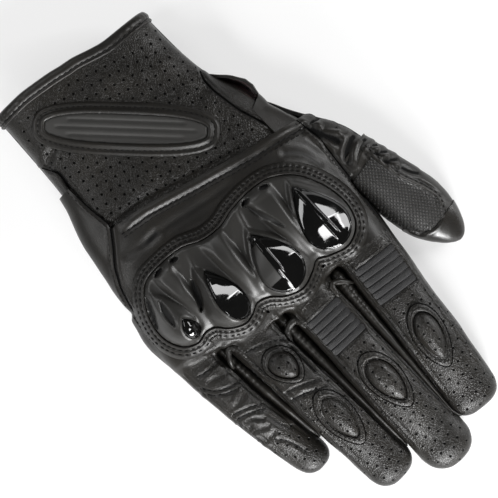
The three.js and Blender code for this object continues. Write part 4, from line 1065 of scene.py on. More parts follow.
# Dark beads of painted shade in the seams beside the thumb and the side panel, and dark discs of painted shade in the
# finger pinholes.
pits = []
for k in (0, 1):
    pits += gap_row(skin_tree, plan_line(LINES[k][3]), radius=0.3)
for name, digit in list(DIGITS.items())[:4]:
    across, along = lattice_spots(HOLE_PITCH, HOLE_TURN, (-14, PUNCHED_FROM[name] + 1.2),
                                  (14, digit["reach"] - 2.0))
    pits += punched_at(skin_tree, np.stack(out_of_digit(digit, across, along), axis=1))
for one in pits:
    pitted[panel_of[panel_tree.find(one[0])[1]]].append(one)
for offset, pixels in ((1.2, THUMB_LINES[0][3]), (-1.2, THUMB_LINES[0][3]), (-1.0, THUMB_LINES[2][3])):
    for one in stitch_row(skin_tree, offset_line(plan_line(pixels), offset), pitch=2.3, length=1.7,
                          radius=0.33):
        along = in_digit(DIGITS["thumb"], one[0][None])[1][0]
        sewn["thumb_back_base" if along < DIGITS["thumb"]["splits"][0] else "thumb_back_tip"].append(one)


def bend_piece(piece):
    """Bakes a soft piece's placing into its mesh. It does not bend the piece across a joint."""
    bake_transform(piece)


for name in sorted(sewn):
    mine = triangles[panel_of == name]
    plain = name in ("back_panel", "outer_side_panel")
    face = "palm" if "palm" in name else "back"
    finish, slot = (suede, "palm_suede") if face == "palm" else (leather, "leather")
    if face == "back" and not plain and "thumb" not in name:
        finish, slot = punched_leather, "perforated_leather"
    label = name + "_leather" if finish is not suede else name + "_suede"
    piece = thick_panel(label, data, mine, LEATHER_THICK, finish=finish, beads=sewn[name], pits=pitted[name],
                        slot=slot,
                        nodes=[name])
    if plain or name == "palm_panel":
        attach(piece, "hand")
    else:
        digit_name, _, link = name.split("_")
        bend_piece(piece)


# Stretch panels over the index and middle knuckles: ribbed elastic cloth, laid in a window of the finger's
# back and sewn in along its edges. It is made in a rear and a fore part, split at the finger's first joint.
cloth, tree, shader = new_finish("stretch_cloth", Sheen_Weight=0.15, Sheen_Roughness=0.5,
                                 Specular_IOR_Level=0.25)
knit = placed_group(tree, WEAVE, Place=object_place(tree), Thread=0.5).outputs
surfaced(tree, shader, tint(tree, (0.014, 0.014, 0.0145), (0.032, 0.032, 0.033), knit["Fleck"]),
         calc(tree, "MULTIPLY_ADD", knit["Height"], 0.1, 0.75), knit["Height"], 0.08)
plain_tree = BVHTree.FromPolygons(plain_skin.tolist(), skin_faces.tolist())
PANEL_THICK, PANEL_BANDS, STRETCH_ROWS, STRETCH_COLUMNS = 0.9, 6, 180, 41


def plate_rows(points, triangles, edge=None, lattice=None, punched=None):
    """Rows for thick_panel from plain points: they get their own normals."""
    zero = np.zeros(len(points))
    grid = np.zeros((len(points), 3)) if lattice is None else lattice
    return np.column_stack([points, vertex_normals(points, triangles), zero if edge is None else edge, grid,
                            zero if punched is None else punched, zero])


def grid_triangles(across, along, closed=False):
    """Triangles of a grid of across by along points, facing up when its rows run to the left of its columns."""
    index = np.arange(across * along).reshape(along, across)
    turned = np.roll(index, -1, axis=1) if closed else index[:, 1:]
    near = index if closed else index[:, :-1]
    a, b, c, d = near[:-1], turned[:-1], turned[1:], near[1:]
    return np.concatenate([np.stack([a, b, c], -1).reshape(-1, 3), np.stack([a, c, d], -1).reshape(-1, 3)])


def turned_to(points, faces, outward):
    """The triangles, turned over if they face against a direction, or against each point's own one."""
    return faces[:, ::-1] if (vertex_normals(points, faces) * outward).sum() < 0 else faces


def heights_on(tree, xy, fallback):
    """Heights of a surface from above at points of the plan."""
    out = np.empty(len(xy))
    for i, (x, y) in enumerate(xy):
        hit, _ = dropped_on(tree, (x, y))
        out[i] = fallback if hit is None else hit[2]
    return out


for name, (start, stop) in STRETCH_WINDOWS.items():
    digit = DIGITS[name]
    along = np.linspace(start + 0.1, stop - 0.1, STRETCH_ROWS)
    share = np.linspace(-1, 1, STRETCH_COLUMNS)
    x, _, half, _ = digit_section(digit, along)
    across = x[:, None] + share[None, :] * (half[:, None] * STRETCH_SHARE - 0.2)
    px, py = out_of_digit(digit, across, np.repeat(along[:, None], STRETCH_COLUMNS, axis=1))
    flat = np.stack([px.ravel(), py.ravel()], axis=1)
    z = heights_on(plain_tree, flat, digit["height"][0] + 10).reshape(across.shape)
    band = (along - start) / (stop - start) * PANEL_BANDS
    groove = np.exp(-(((band - np.round(band)) / 0.075) ** 2))
    crown = 0.3 * np.abs(np.sin(np.pi * band))[:, None] - 0.9 * groove[:, None]
    z = z + crown - 0.35 - 0.5 * np.abs(share[None, :]) ** 8
    points = np.column_stack([flat, z.ravel()])
    faces = grid_triangles(STRETCH_COLUMNS, STRETCH_ROWS)
    split = digit["splits"][0]
    centre = np.repeat(along[:, None], STRETCH_COLUMNS, axis=1).ravel()[faces].mean(axis=1)
    rows = plate_rows(points, faces)
    for label, keep, joint, nodes in ((f"{name}_stretch_panel_cloth", centre < split, 0,
                                       [f"{name}_stretch_panel"]),
                                      (f"{name}_stretch_panel_fore", centre >= split, 1, [])):
        piece = thick_panel(label, rows, faces[keep], PANEL_THICK, finish=cloth, slot="stretch_cloth",
                            nodes=nodes)
        bend_piece(piece)

# Fourchettes: the soft side strips that roll up between two fingers. Each belongs to one finger, is gathered
# a little at the web, and stops just short of its neighbour.
ROLL_SIDES = 30
for name, neighbour in (("middle", "index"), ("ring", "middle"), ("little", "ring")):
    digit, other = DIGITS[name], DIGITS[neighbour]
    first = {"middle": 7.5, "ring": 9.0, "little": 8.0}[name]
    last = digit["reach"] - {"middle": 12.0, "ring": 6.0, "little": 7.5}[name]
    s = np.arange(first, last, 0.6)
    x, z, half, deep = digit_section(digit, s)
    side_x, side_y = out_of_digit(digit, x - half, s)
    across, along = in_digit(other, np.stack([side_x, side_y], axis=1))
    other_middle, _, other_half, _ = digit_section(other, along)
    gap = across - (other_middle + other_half)
    grow = np.clip((s - first) / 4.5, 0, 1)
    close = np.sqrt(np.clip(1 - (1 - grow) ** 2, 0.01, 1)) * np.sqrt(np.clip((last - s) / 6, 0.02, 1))
    tall = 0.5 * deep * (0.5 + 0.5 * close) * (1 - 0.25 * np.clip((s - last + 20) / 20, 0, 1))
    gathers = 1 + 0.045 * np.sin(s * 2 * np.pi / 2.9
                                 + np.sin(s * 0.7)) * np.exp(-((s - first - 14) / 14) ** 2)
    turn = 2 * np.pi * np.arange(ROLL_SIDES) / ROLL_SIDES
    down = np.clip(-np.sin(turn), 0, 1)[None, :]
    side = np.sign(np.cos(turn)) * np.abs(np.cos(turn)) ** np.where(np.sin(turn) < 0, 0.45, 1.0)
    own = (np.cos(turn) > 0)[None, :]
    spare = 0.3 if name == "little" else 0.9
    broad = ((np.maximum(gap, 0.9) / 2 * gathers)[:, None] + np.where(own, 0.6, 0.15)
             + np.where(own, 2.2, spare) * down ** 0.8) * close[:, None]
    roll_x = (x - half - np.maximum(gap, 0.9) / 2 + 0.25)[:, None] + broad * side[None, :]
    roll_z = (z + 0.1 * deep)[:, None] + (tall * gathers)[:, None] * np.sin(turn)[None, :] * (1 + 0.5 * down)
    px, py = out_of_digit(digit, roll_x, np.repeat(s[:, None], ROLL_SIDES, axis=1))
    points = np.stack([px, py, roll_z], axis=-1).reshape(-1, 3)
    faces = grid_triangles(ROLL_SIDES, len(s), closed=True)
    normals = vertex_normals(points, faces)
    if (normals * np.stack([np.zeros(len(points)), np.zeros(len(points)),
                            points[:, 2] - np.repeat(z, ROLL_SIDES)], axis=1)).sum() < 0:
        faces = faces[:, ::-1]
    points += vertex_normals(points, faces) * (0.12 * rolling(points, 61, 7.0))[:, None]
    rows = plate_rows(points, faces, edge=np.clip(np.sin(np.tile(turn, len(s))) - 0.6, 0, 1))
    at = np.repeat(s, ROLL_SIDES)[faces].mean(axis=1)
    for joint, (low, high) in enumerate(zip((0, *digit["splits"]), (*digit["splits"], 200))):
        keep = (at >= low) & (at < high)
        if keep.any():
            piece = thick_panel(f"{name}_fourchette_{('base', 'middle', 'tip')[joint]}", rows, faces[keep],
                                0.8, finish=leather,
                                slot="leather")
            bend_piece(piece)

# The web loops: a rolled edge of hide round the root of each gap between two fingers, gathered and sewn
# down. It stays with the hand when a finger bends.
LOOP_SIDES = 16
for name, (_, _, _, pixels) in zip(("index", "middle", "ring"), LINES[2:5]):
    line = plan_line([(x, y + 1.5) for x, y in pixels], spacing=0.5)
    spots = [dropped_on(plain_tree, spot)[0] for spot in line]
    line = np.array([spot for spot in spots if spot is not None])
    line[:, 2] = [line[max(i - 5, 0):i + 6, 2].max() for i in range(len(line))]
    for _ in range(12):
        line[1:-1] = (line[:-2] + 2 * line[1:-1] + line[2:]) / 4
    ahead = np.gradient(line, axis=0)
    ahead /= np.linalg.norm(ahead, axis=1, keepdims=True)
    sideways = np.cross(ahead, [0, 0, 1])
    sideways /= np.linalg.norm(sideways, axis=1, keepdims=True)
    upward = np.cross(sideways, ahead)
    share = np.linspace(0, 1, len(line))
    radius = 1.6 * np.clip(np.sin(np.pi * share), 0.02, 1) ** 0.35
    radius = radius * (1 + 0.07 * np.sin(np.arange(len(line)) * 1.9))
    turn = 2 * np.pi * np.arange(LOOP_SIDES) / LOOP_SIDES
    turn = turn[None, :, None]
    ring = np.cos(turn) * sideways[:, None] + np.sin(turn) * upward[:, None]
    points = (line[:, None] + radius[:, None, None] * ring).reshape(-1, 3)
    faces = grid_triangles(LOOP_SIDES, len(line), closed=True)
    faces = turned_to(points, faces, points - np.repeat(line, LOOP_SIDES, axis=0))
    points += vertex_normals(points, faces) * (0.07 * rolling(points, 63, 3.0))[:, None]
    piece = thick_panel(f"{name}_web_loop", plate_rows(points, faces), faces, 0.8, finish=leather,
                        slot="leather")
    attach(piece, "hand")

# The thumb's grip panel, a pebbled hide that stands a little proud of the thumb, and the smooth cap over its
# tip. The panel is sewn down along both sides, and the cap wraps the end of the thumb.
grip, tree, shader = new_finish("grip_hide", Specular_IOR_Level=0.45)
pebbles = placed_group(tree, PINHOLES, Lattice=attribute(tree, "lattice", "Vector"), Radius=0.36,
                       Punched=1.0).outputs["Hole"]
fine = placed_group(tree, GRAIN, Place=object_place(tree), Pebble=0.6, Crease=0.4).outputs["Height"]
surfaced(tree, shader, tint(tree, (0.003, 0.0028, 0.0025), (0.017, 0.0158, 0.014), pebbles),
         remap(tree, pebbles, 0.0, 1.0, 0.62, 0.42), calc(tree, "MULTIPLY_ADD", fine, 0.12, pebbles), 0.28)
cap = hide_finish("smooth_cap_hide", DARK_HIDE, (0.0155, 0.0139, 0.0116), 0.8, 0.3, 0.33, 0.025)
cap.node_tree.nodes["Principled BSDF"].inputs["Specular IOR Level"].default_value = 0.6
thumb = DIGITS["thumb"]
side_seam_px = np.array(THUMB_LINES[0][3][:-1] + [(-170, 104)], float) * PIXEL
tip_seam_px = np.array(THUMB_LINES[2][3] + [(-124, 78), (-118, 60)], float) * PIXEL
side_across, side_along = in_digit(thumb, side_seam_px)
tip_across, tip_along = in_digit(thumb, tip_seam_px)
order = np.argsort(tip_across)


def right_of_seam(points):
    across, along = in_digit(thumb, points)
    return across - np.interp(along, side_along, side_across) - 0.5


def before_tip_seam(points):
    across, along = in_digit(thumb, points)
    return np.interp(across, tip_across[order], tip_along[order]) - along - 0.4


thumb_back = triangles[np.isin(panel_of, ["thumb_back_base", "thumb_back_tip"])]
grip_data, grip_faces = split_along(data, thumb_back, right_of_seam(data))
grip_data, grip_faces = split_along(grip_data, grip_faces, before_tip_seam(grip_data))
grip_data, grip_faces = split_along(grip_data, grip_faces, in_digit(thumb, grip_data)[1] - thumb["splits"][0])
centre = grip_data[grip_faces].mean(axis=1)
along = in_digit(thumb, centre)[1]
inside = (right_of_seam(centre) > 0) & (before_tip_seam(centre) > 0) & (along > 0.5)
across_all, along_all = in_digit(thumb, grip_data)
grip_data[:, 7:10] = lattice_of(across_all * 1.25 + (grip_data[:, 2] - 20) * 0.4, along_all, 1.5,
                                math.radians(38))
grip_data[:, 6] = 0
grip_data[:, :3] += grip_data[:, 3:6] * 0.35
for label, keep, joint, nodes in (("thumb_grip_panel_hide", inside & (along >= thumb["splits"][0]), 1,
                                   ["thumb_grip_panel"]),
                                  ("thumb_grip_panel_root", inside & (along < thumb["splits"][0]), 0, [])):
    piece = thick_panel(label, grip_data, grip_faces[keep], 0.9, finish=grip, slot="palm_suede", nodes=nodes)
    bend_piece(piece)
cap_faces = grip_faces[(before_tip_seam(centre) < -0.5) & (along > 30)]
piece = thick_panel("thumb_tip_cap_hide", grip_data, cap_faces, 0.7, finish=cap, slot="leather")
bend_piece(piece)

# Finger pads: an oval of hide over foam, sewn down round a narrow flange, with a crowned middle.
# Each is cut from punched hide and stitched round its flange.
PAD_TURNS, PAD_RINGS = 84, 40
FINGER_PADS = [
    ("index_pad", "index", 2, 42.4, 74.2, 7.6, 0.9), ("middle_pad", "middle", 2, 42.0, 73.8, 8.0, -0.4),
    ("ring_pad", "ring", 2, 46.0, 77.2, 7.5, 0.5), ("ring_knuckle_pad", "ring", 1, 18.4, 38.8, 7.7, -0.6),
]


def crowned_triangles(turns, rings):
    """Triangles of closed rings of points that end in one middle point."""
    last, step = (rings - 1) * turns, np.arange(turns)
    fan = np.stack([last + step, last + (step + 1) % turns, np.full(turns, rings * turns)], axis=1)
    return np.vstack([grid_triangles(turns, rings, closed=True), fan])


def oval_pad(tree, digit, start, stop, half_width, lean, rise):
    """The pad's points and triangles, its outline in the plan at a share of its size, and each point's share."""
    turn = 2 * np.pi * np.arange(PAD_TURNS) / PAD_TURNS
    middle, half_length = (start + stop) / 2, (stop - start) / 2
    tall = np.sin(turn)
    wide = np.cos(turn) * np.abs(np.cos(turn)) ** 0.12 * (1 - 0.2 * tall)

    def outline(share):
        x, _, _, _ = digit_section(digit, middle + half_length * tall * share)
        return np.stack(out_of_digit(digit, x + share * (wide * half_width + lean * tall * 1.5),
                                     middle + half_length * tall * share), axis=1)

    shares = 1 - np.linspace(0, 1, PAD_RINGS + 1)[:-1] ** 0.95
    profile_at = [0.0, 0.2, 0.4, 0.54, 0.63, 0.675, 0.7, 0.725, 0.75, 0.8, 0.88, 0.94, 0.97, 1.0]
    profile_up = [rise, rise * 0.98, rise * 0.86, rise * 0.62, rise * 0.36, 0.35, -0.25, -0.25, 0.5, 0.72,
                  0.68, 0.5, 0.2, -0.9]
    flat = np.vstack([outline(share) for share in shares] + [outline(0.0)[:1]])
    size = np.append(np.repeat(shares, PAD_TURNS), 0.0)
    z = heights_on(tree, flat, digit["height"][1])
    faces = crowned_triangles(PAD_TURNS, PAD_RINGS)
    points = smoothed(np.column_stack([flat, z]), faces, 4, 0.4)
    points[:, :2] = flat
    points[:, 2] += np.interp(size, profile_at, profile_up)
    return points, faces, outline, size


for name, finger, joint, start, stop, half_width, lean in FINGER_PADS:
    digit = DIGITS[finger]
    points, faces, outline, size = oval_pad(plain_tree, digit, start, stop, half_width, lean, 2.6)
    points[:, 2] += 0.02 * rolling(points, 21, 4.0)
    across, along = in_digit(digit, points)
    # Edge: rub on the crown's rim, and painted shade, as negative values, in the groove round the crown and along the
    # flange's outer edge.
    rows = plate_rows(points, faces,
                      edge=np.clip(1 - np.abs(size - 0.55) / 0.1, 0, 1) * 0.15
                      - np.exp(-(((size - 0.712) / 0.03) ** 2)) - (size > 0.965) * 0.8,
                      lattice=np.stack([across / 4.2 + 40, (along - start + (across > 0) * 1.4) / 4.2,
                                        size * 0], axis=1),
                      punched=(size < 0.56).astype(float))
    pad_tree = BVHTree.FromPolygons(points.tolist(), faces.tolist())
    beads = stitch_row(pad_tree, outline(0.84), pitch=2.1, length=1.5, radius=0.26, closed=True)
    spots = [(side * 2.1, start + 4.2 * (k + 0.5) - (1.4 if side > 0 else 0.0))
             for side in (-1, 1) for k in range(8)]
    spots = [(a, b) for a, b in spots if (a / half_width) ** 2
             + ((2 * b - start - stop) / (stop - start)) ** 2 < 0.33]
    # The pinhole discs and the dark beads in the two grooves are painted shade.
    pits = punched_at(pad_tree, np.stack(out_of_digit(digit, *np.array(spots).T), axis=1), radius=0.42)
    pits += gap_row(pad_tree, outline(0.712), radius=0.34, closed=True)
    pits += gap_row(pad_tree, outline(0.965), radius=0.3, closed=True)
    piece = thick_panel(f"{name}_cover", rows, faces, 0.9, finish=punched_leather, beads=beads, pits=pits,
                        slot="leather", nodes=[name])
    bend_piece(piece)

# The knuckle guard: a satin moulded shell with a dome over each knuckle and pressed flutes between the domes,
# on foam glued to the hide. Its windows hold four polished black inserts, each with a crest along its middle.
GUARD_OUTLINE = [
    (-43.2, 8), (-43, 16), (-39.6, 22.8), (-32, 26.4), (-23.6, 24.2), (-18.2, 21.8), (-12.8, 24.4),
    (-5.6, 26.6), (2, 24),
    (7.4, 19.6), (13, 18), (18, 20.2), (23, 20.8), (29, 17.6), (33, 13.4), (38, 12.2), (43, 13.2), (49, 10),
    (52.4, 2),
    (51.4, -7), (47.4, -15), (41, -20.6), (31, -21.6), (21, -20.8), (12, -17), (3, -16), (-6, -18),
    (-17, -18.6),
    (-27, -16.8), (-35.6, -10.4), (-40.6, -1.6),
]
DOMES = [(-31.2, 13, 12, 14, 25, 7.6), (-4.6, 13.5, 11.4, 13.5, 23, 7.6), (23.2, 8.4, 9.8, 12.8, 20.6, 7.2),
         (43.6, 1.4, 8, 10.8, 18, 6)]
INSERTS = [("index", -31.2, 14, 10.6, 11, 22), ("middle", -4.6, 14.4, 10.1, 10.8, 19.6),
           ("ring", 20.0, 9.6, 6.2, 10.4, 17),
           ("little", 40.9, 7.4, 3.8, 4.4, 6.2)]
FLUTES = [(-18.6, 18, -19, 3, 7.6, 4), (9, 16, -17, 3.6, 6.4, 4), (33.6, 11, -21, 2.6, 5.6, 3.4)]
GUARD_SEAT, GUARD_WALL, GUARD_BLEND = 1.5, 2.0, 4
GUARD_RIDGES = [
    (0.75, 1.5, [(10, -34), (14, -18), (18, -3), (22.6, 40)]),
    (0.6, 1.3, [(24, -36), (28, -18), (30, -7), (32, 36)]),
    (0.6, 1.4, [(-3, -36), (5, -22), (11, -12), (17, 26)]),
    (0.7, 1.5, [(-54.6, -28), (-52, -10), (-50, 2), (-44, 28)]),
    (0.6, 1.5, [(59, -46), (63, -36), (70, -24), (79, -6)]), (0.6, 1.5, [(85, -47), (86, -30), (85, -8)]),
    (1.1, 1.1, [(46, -45), (50, -31), (54, -20), (57.6, 0), (58.7, 9.5), (58.5, 24), (57, 40)]),
    (1.0, 1.1, [(97, -47), (102, -35), (106.5, -25), (109, -10), (109, 10)]),
    (1.0, 1.1, [(-21, -42), (-16.6, -34), (-13.6, -22), (-11.6, -10)]),
    (0.7, 1.2, [(-75, -38), (-74, -27), (-73.7, -16)]),
    (1.1, 1.8, [(-56, -32.5), (-40, -34), (-25, -34)]), (1.0, 1.8, [(85, -42), (72, -41.5), (58, -40.5)]),
]
GUARD_SLITS = [
    (1.8, 1.15, [(61.5, -20), (66, -8), (71, 3), (77, 12)]),
    (1.5, 1.0, [(-9, -12), (-3, 0), (3, 9), (9, 18)]),
    (1.6, 0.9, [(107, -38), (112, -26), (117, -14), (121, -4)]),
    (0.9, 1.0, [(-26, -36), (-31, -20), (-36, -8), (-41, 7)]),
    (2.0, 0.9, [(-57, -35), (-52, -37.5), (-47, -38.5)]), (2.0, 0.9, [(-33, -39), (-28, -39), (-24, -38)]),
    (2.0, 0.9, [(87, -45), (81, -46.5), (76, -47)]), (2.0, 0.9, [(67, -46), (62, -45.5), (57, -44)]),
    (1.2, 1.3, [(100, -24), (103, -14), (104, -4), (106, 4)]),
]


def round_outline(corners, count):
    """A closed smooth outline through corners, as evenly spaced points."""
    corners = np.array(corners, float)
    before, after, last = np.roll(corners, 1, 0), np.roll(corners, -1, 0), np.roll(corners, -2, 0)
    t = np.linspace(0, 1, 16, endpoint=False)[None, :, None]
    curve = 0.5 * (2 * corners[:, None] + (after - before)[:, None] * t
                   + (2 * before - 5 * corners + 4 * after - last)[:, None] * t ** 2
                   + (3 * corners - before - 3 * after + last)[:, None] * t ** 3)
    return even_outline(curve.reshape(-1, 2), count)


def even_outline(points, count):
    points = np.vstack([points, points[:1]])
    run = np.concatenate([[0], np.cumsum(np.linalg.norm(np.diff(points, axis=0), axis=1))])
    at = np.arange(count) * run[-1] / count
    return np.stack([np.interp(at, run, points[:, k]) for k in (0, 1)], axis=1)


def grown_outline(outline, distance):
    step = np.roll(outline, -1, 0) - np.roll(outline, 1, 0)
    step /= np.linalg.norm(step, axis=1, keepdims=True)
    turning = 1 if np.sum(outline[:, 0] * np.roll(outline[:, 1], -1) - outline[:, 1]
                          * np.roll(outline[:, 0], -1)) > 0 else -1
    return outline + turning * np.stack([step[:, 1], -step[:, 0]], axis=1) * distance


def inside_outline(points, outline):
    inside = np.zeros(len(points), bool)
    for (ax, ay), (bx, by) in zip(outline, np.roll(outline, -1, 0)):
        if ay == by:
            continue
        between = (points[:, 1] < ay) != (points[:, 1] < by)
        inside ^= between & (points[:, 0] < (bx - ax) * (points[:, 1] - ay) / (by - ay) + ax)
    return inside


def to_outline(points, outline):
    """Distance of points to an outline of closely spaced points."""
    nearest = np.full(len(points), 1e9)
    for a, b in zip(outline, np.roll(outline, -1, 0)):
        step = b - a
        t = np.clip((points - a) @ step / max(step @ step, 1e-9), 0, 1)
        nearest = np.minimum(nearest, np.linalg.norm(points - a - t[:, None] * step, axis=1))
    return nearest


def filled(outline, holes, spacing):
    """Points and triangles that fill an outline, leaving out the holes."""
    low, high = outline.min(0), outline.max(0)
    xs, ys = np.arange(low[0], high[0], spacing), np.arange(low[1], high[1], spacing * 0.87)
    grid = np.array([(x + (j % 2) * spacing / 2, y) for j, y in enumerate(ys) for x in xs])
    grid = grid[inside_outline(grid, outline) & (to_outline(grid, outline) > spacing * 0.55)]
    for hole in holes:
        grid = grid[~inside_outline(grid, hole) & (to_outline(grid, hole) > spacing * 0.55)]
    loops, edges, start = [outline, *holes], [], 0
    for loop in loops:
        edges += [(start + i, start + (i + 1) % len(loop)) for i in range(len(loop))]
        start += len(loop)
    points = np.vstack([*loops, grid])
    made = geometry.delaunay_2d_cdt([Vector(p) for p in points], edges, [], 0, 1e-6)
    flat = np.array([tuple(v) for v in made[0]])
    faces = np.array(made[2])
    middle = flat[faces].mean(axis=1)
    keep = inside_outline(middle, outline)
    for hole in holes:
        keep &= ~inside_outline(middle, hole)
    faces = faces[keep]
    a, b, c = (flat[faces[:, k]] for k in range(3))
    upside_down = (b[:, 0] - a[:, 0]) * (c[:, 1] - a[:, 1]) < (b[:, 1] - a[:, 1]) * (c[:, 0] - a[:, 0])
    faces[upside_down] = faces[upside_down][:, ::-1]
    return flat, faces


def teardrop_half(drop, y, grown=0.0):
    _, middle, half, ahead, behind = drop[:5]
    dy = y - middle
    share = np.where(dy >= 0, dy / (ahead + grown), -dy / (behind + grown))
    share = np.clip(share, 0, 1)
    return (half + grown) * np.where(dy >= 0, np.sqrt(1 - share ** 2), 1 - share ** 1.6)


def teardrop_outline(drop, grown, count):
    turn = 2 * np.pi * np.arange(240) / 240
    reach = np.where(np.sin(turn) >= 0, drop[3], drop[4]) + grown
    y = drop[1] + reach * np.sin(turn) * 0.998
    return even_outline(np.stack([drop[0] + np.sign(np.cos(turn)) * teardrop_half(drop, y, grown), y],
                                 axis=1), count)


grid_x, grid_y = np.arange(-62, 66, 1.0), np.arange(-44, 42, 1.0)
mesh_x, mesh_y = np.meshgrid(grid_x, grid_y)
back_grid = heights_on(plain_tree, np.stack([mesh_x.ravel(), mesh_y.ravel()], axis=1),
                       18.0).reshape(mesh_x.shape)
for _ in range(6):
    padded_grid = np.pad(back_grid, 1, mode="edge")
    back_grid = (padded_grid[:-2, 1:-1] + padded_grid[2:, 1:-1] + padded_grid[1:-1, :-2]
                 + padded_grid[1:-1, 2:]
                 + 4 * back_grid) / 8


def back_height(x, y):
    """Height of the softened back of the hand."""
    fx = np.clip((x - grid_x[0]), 0, len(grid_x) - 1.001)
    fy = np.clip((y - grid_y[0]), 0, len(grid_y) - 1.001)
    i, j = fx.astype(int), fy.astype(int)
    fx, fy = fx - i, fy - j
    return ((back_grid[j, i] * (1 - fx) + back_grid[j, i + 1] * fx) * (1 - fy)
            + (back_grid[j + 1, i] * (1 - fx) + back_grid[j + 1, i + 1] * fx) * fy)


def guard_height(x, y):
    total = np.zeros(len(x))
    for dome in DOMES:
        half = teardrop_half(dome, y)
        across = np.where(half > 0, np.abs(x - dome[0]) / np.maximum(half, 1e-6), 1)
        dy = y - dome[1]
        share = np.clip(np.where(dy >= 0, dy / dome[3], -dy / dome[4]), 0, 1)
        crest = np.where(dy >= 0, np.sqrt(1 - share ** 2.4), 1 - share ** 1.5)
        total += (dome[5] * crest * np.clip(1 - across ** 2, 0, 1) ** 0.8) ** GUARD_BLEND
    for middle, front, back, front_half, back_half, rise in FLUTES:
        share = np.clip((y - back) / (front - back), 0, 1)
        across = np.clip(np.abs(x - middle) / (back_half + (front_half - back_half) * share), 0, 1)
        total += (rise * np.sin(np.pi * share) ** 0.7 * (1 - across ** 4)) ** GUARD_BLEND
    return back_height(x, y) + GUARD_SEAT + GUARD_WALL + total ** (1 / GUARD_BLEND)


def insert_height(drop, x, y, crest_x, rise):
    """Two nearly flat facets, from a raised crest down to the shell at the window's edge."""
    half = np.maximum(teardrop_half(drop, y), 0.5)
    low_x, high_x = drop[0] - half, drop[0] + half
    crest_x = np.clip(crest_x, drop[0] - 0.85 * half, drop[0] + 0.85 * half)
    low, high = guard_height(low_x, y), guard_height(high_x, y)
    arch = np.sin(np.pi * np.clip((y - drop[1] + drop[4]) / (drop[3] + drop[4]), 0, 1) ** 0.62) ** 0.8
    top = (low + high) / 2 * (1 - arch) + (back_height(drop[0] + 0 * y, drop[1] + 0 * y) + GUARD_SEAT
                                           + GUARD_WALL + rise) * arch
    off = np.where(x < crest_x, (crest_x - x) / np.maximum(crest_x - low_x, 0.2),
                   (x - crest_x) / np.maximum(high_x - crest_x, 0.2))
    off = np.clip(off, 0, 1)
    edge = np.where(x < crest_x, low, high)
    return edge + (top - edge) * (1 - off) + off * (1 - off)


shell, tree, shader = new_finish("satin_shell", Specular_IOR_Level=0.5)
place = object_place(tree)
rub = placed_group(tree, WEAR, Place=place, Edge=attribute(tree, "edge"), Amount=0.2).outputs["Rubbed"]
tone = wire(tree, "TexNoise", Vector=place, Scale=0.08, Detail=4.0).outputs["Fac"]
speck = wire(tree, "TexNoise", Vector=place, Scale=3.5, Detail=3.0).outputs["Fac"]
# Painted shade: the pressed slits are painted near black and made fully rough.
slit = attribute(tree, "punched")
paint = tint(tree, tint(tree, (0.0155, 0.0148, 0.0135), (0.023, 0.022, 0.02), tone), (0.05, 0.048, 0.044),
             rub)
surfaced(tree, shader, tint(tree, paint, (0.001, 0.001, 0.001), slit),
         calc(tree, "MAXIMUM", calc(tree, "MULTIPLY_ADD", speck, 0.08, 0.36), slit), speck, 0.008)

guard_edge = round_outline(GUARD_OUTLINE, 250)[::-1]
windows = [teardrop_outline(insert[1:], 0.0, 84 if insert[3] > 5 else 40) for insert in INSERTS]
flat, faces = filled(guard_edge, windows, 0.62)
rim = to_outline(flat, guard_edge)
height = guard_height(flat[:, 0], flat[:, 1])
height -= 1.6 - np.sqrt(np.clip(1.6 ** 2 - np.clip(1.6 - rim, 0, 1.6) ** 2, 0, None))
lip = np.min([to_outline(flat, window) for window in windows], axis=0)
height += 0.35 * np.exp(-(((lip - 0.9) / 0.6) ** 2)) - 0.5 * np.exp(-((lip / 0.35) ** 2))
points = np.column_stack([flat, height])
points = smoothed(points, faces, 3, 0.4)
points[:, :2] = flat
normals = vertex_normals(points, faces)
pressed, slit_shade = np.zeros(len(points)), np.zeros(len(points))
for rise, width, pixels in GUARD_RIDGES:
    signed, share = beside(points, plan_line(pixels))
    pressed += 0.65 * rise * np.exp(-((signed / width) ** 2)) * np.sin(np.pi * share) ** 0.8
# The slits are pressed in, and their mask is also kept as painted shade for the shell's colour.
for depth, width, pixels in GUARD_SLITS:
    signed, share = beside(points, plan_line(pixels))
    reach = np.abs(signed) / np.maximum(width * np.sin(np.pi * share) ** 0.8, 0.05)
    slit = np.clip((1.35 - reach) / 0.6, 0, 1) ** 2 * (3 - 2 * np.clip((1.35 - reach) / 0.6, 0, 1))
    pressed -= depth * slit
    slit_shade = np.maximum(slit_shade, slit * min(depth / 1.5, 1))
pressed *= np.clip(lip / 0.8, 0, 1) * np.clip(rim / 0.8, 0, 1)
points[:, 2] += pressed
rubbed = np.clip(np.exp(-((rim - 1.2) / 0.8) ** 2) * 0.4 + np.clip(pressed, 0, 1) * 0.8
                 + np.exp(-(((lip - 0.8) / 0.5) ** 2)) * 0.4, 0, 1)
guard = thick_panel("knuckle_guard_shell", plate_rows(points, faces, edge=rubbed, punched=slit_shade), faces,
                    1.7, finish=shell,
                    slot="matte_shell", nodes=["knuckle_guard"])
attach(guard, "hand")

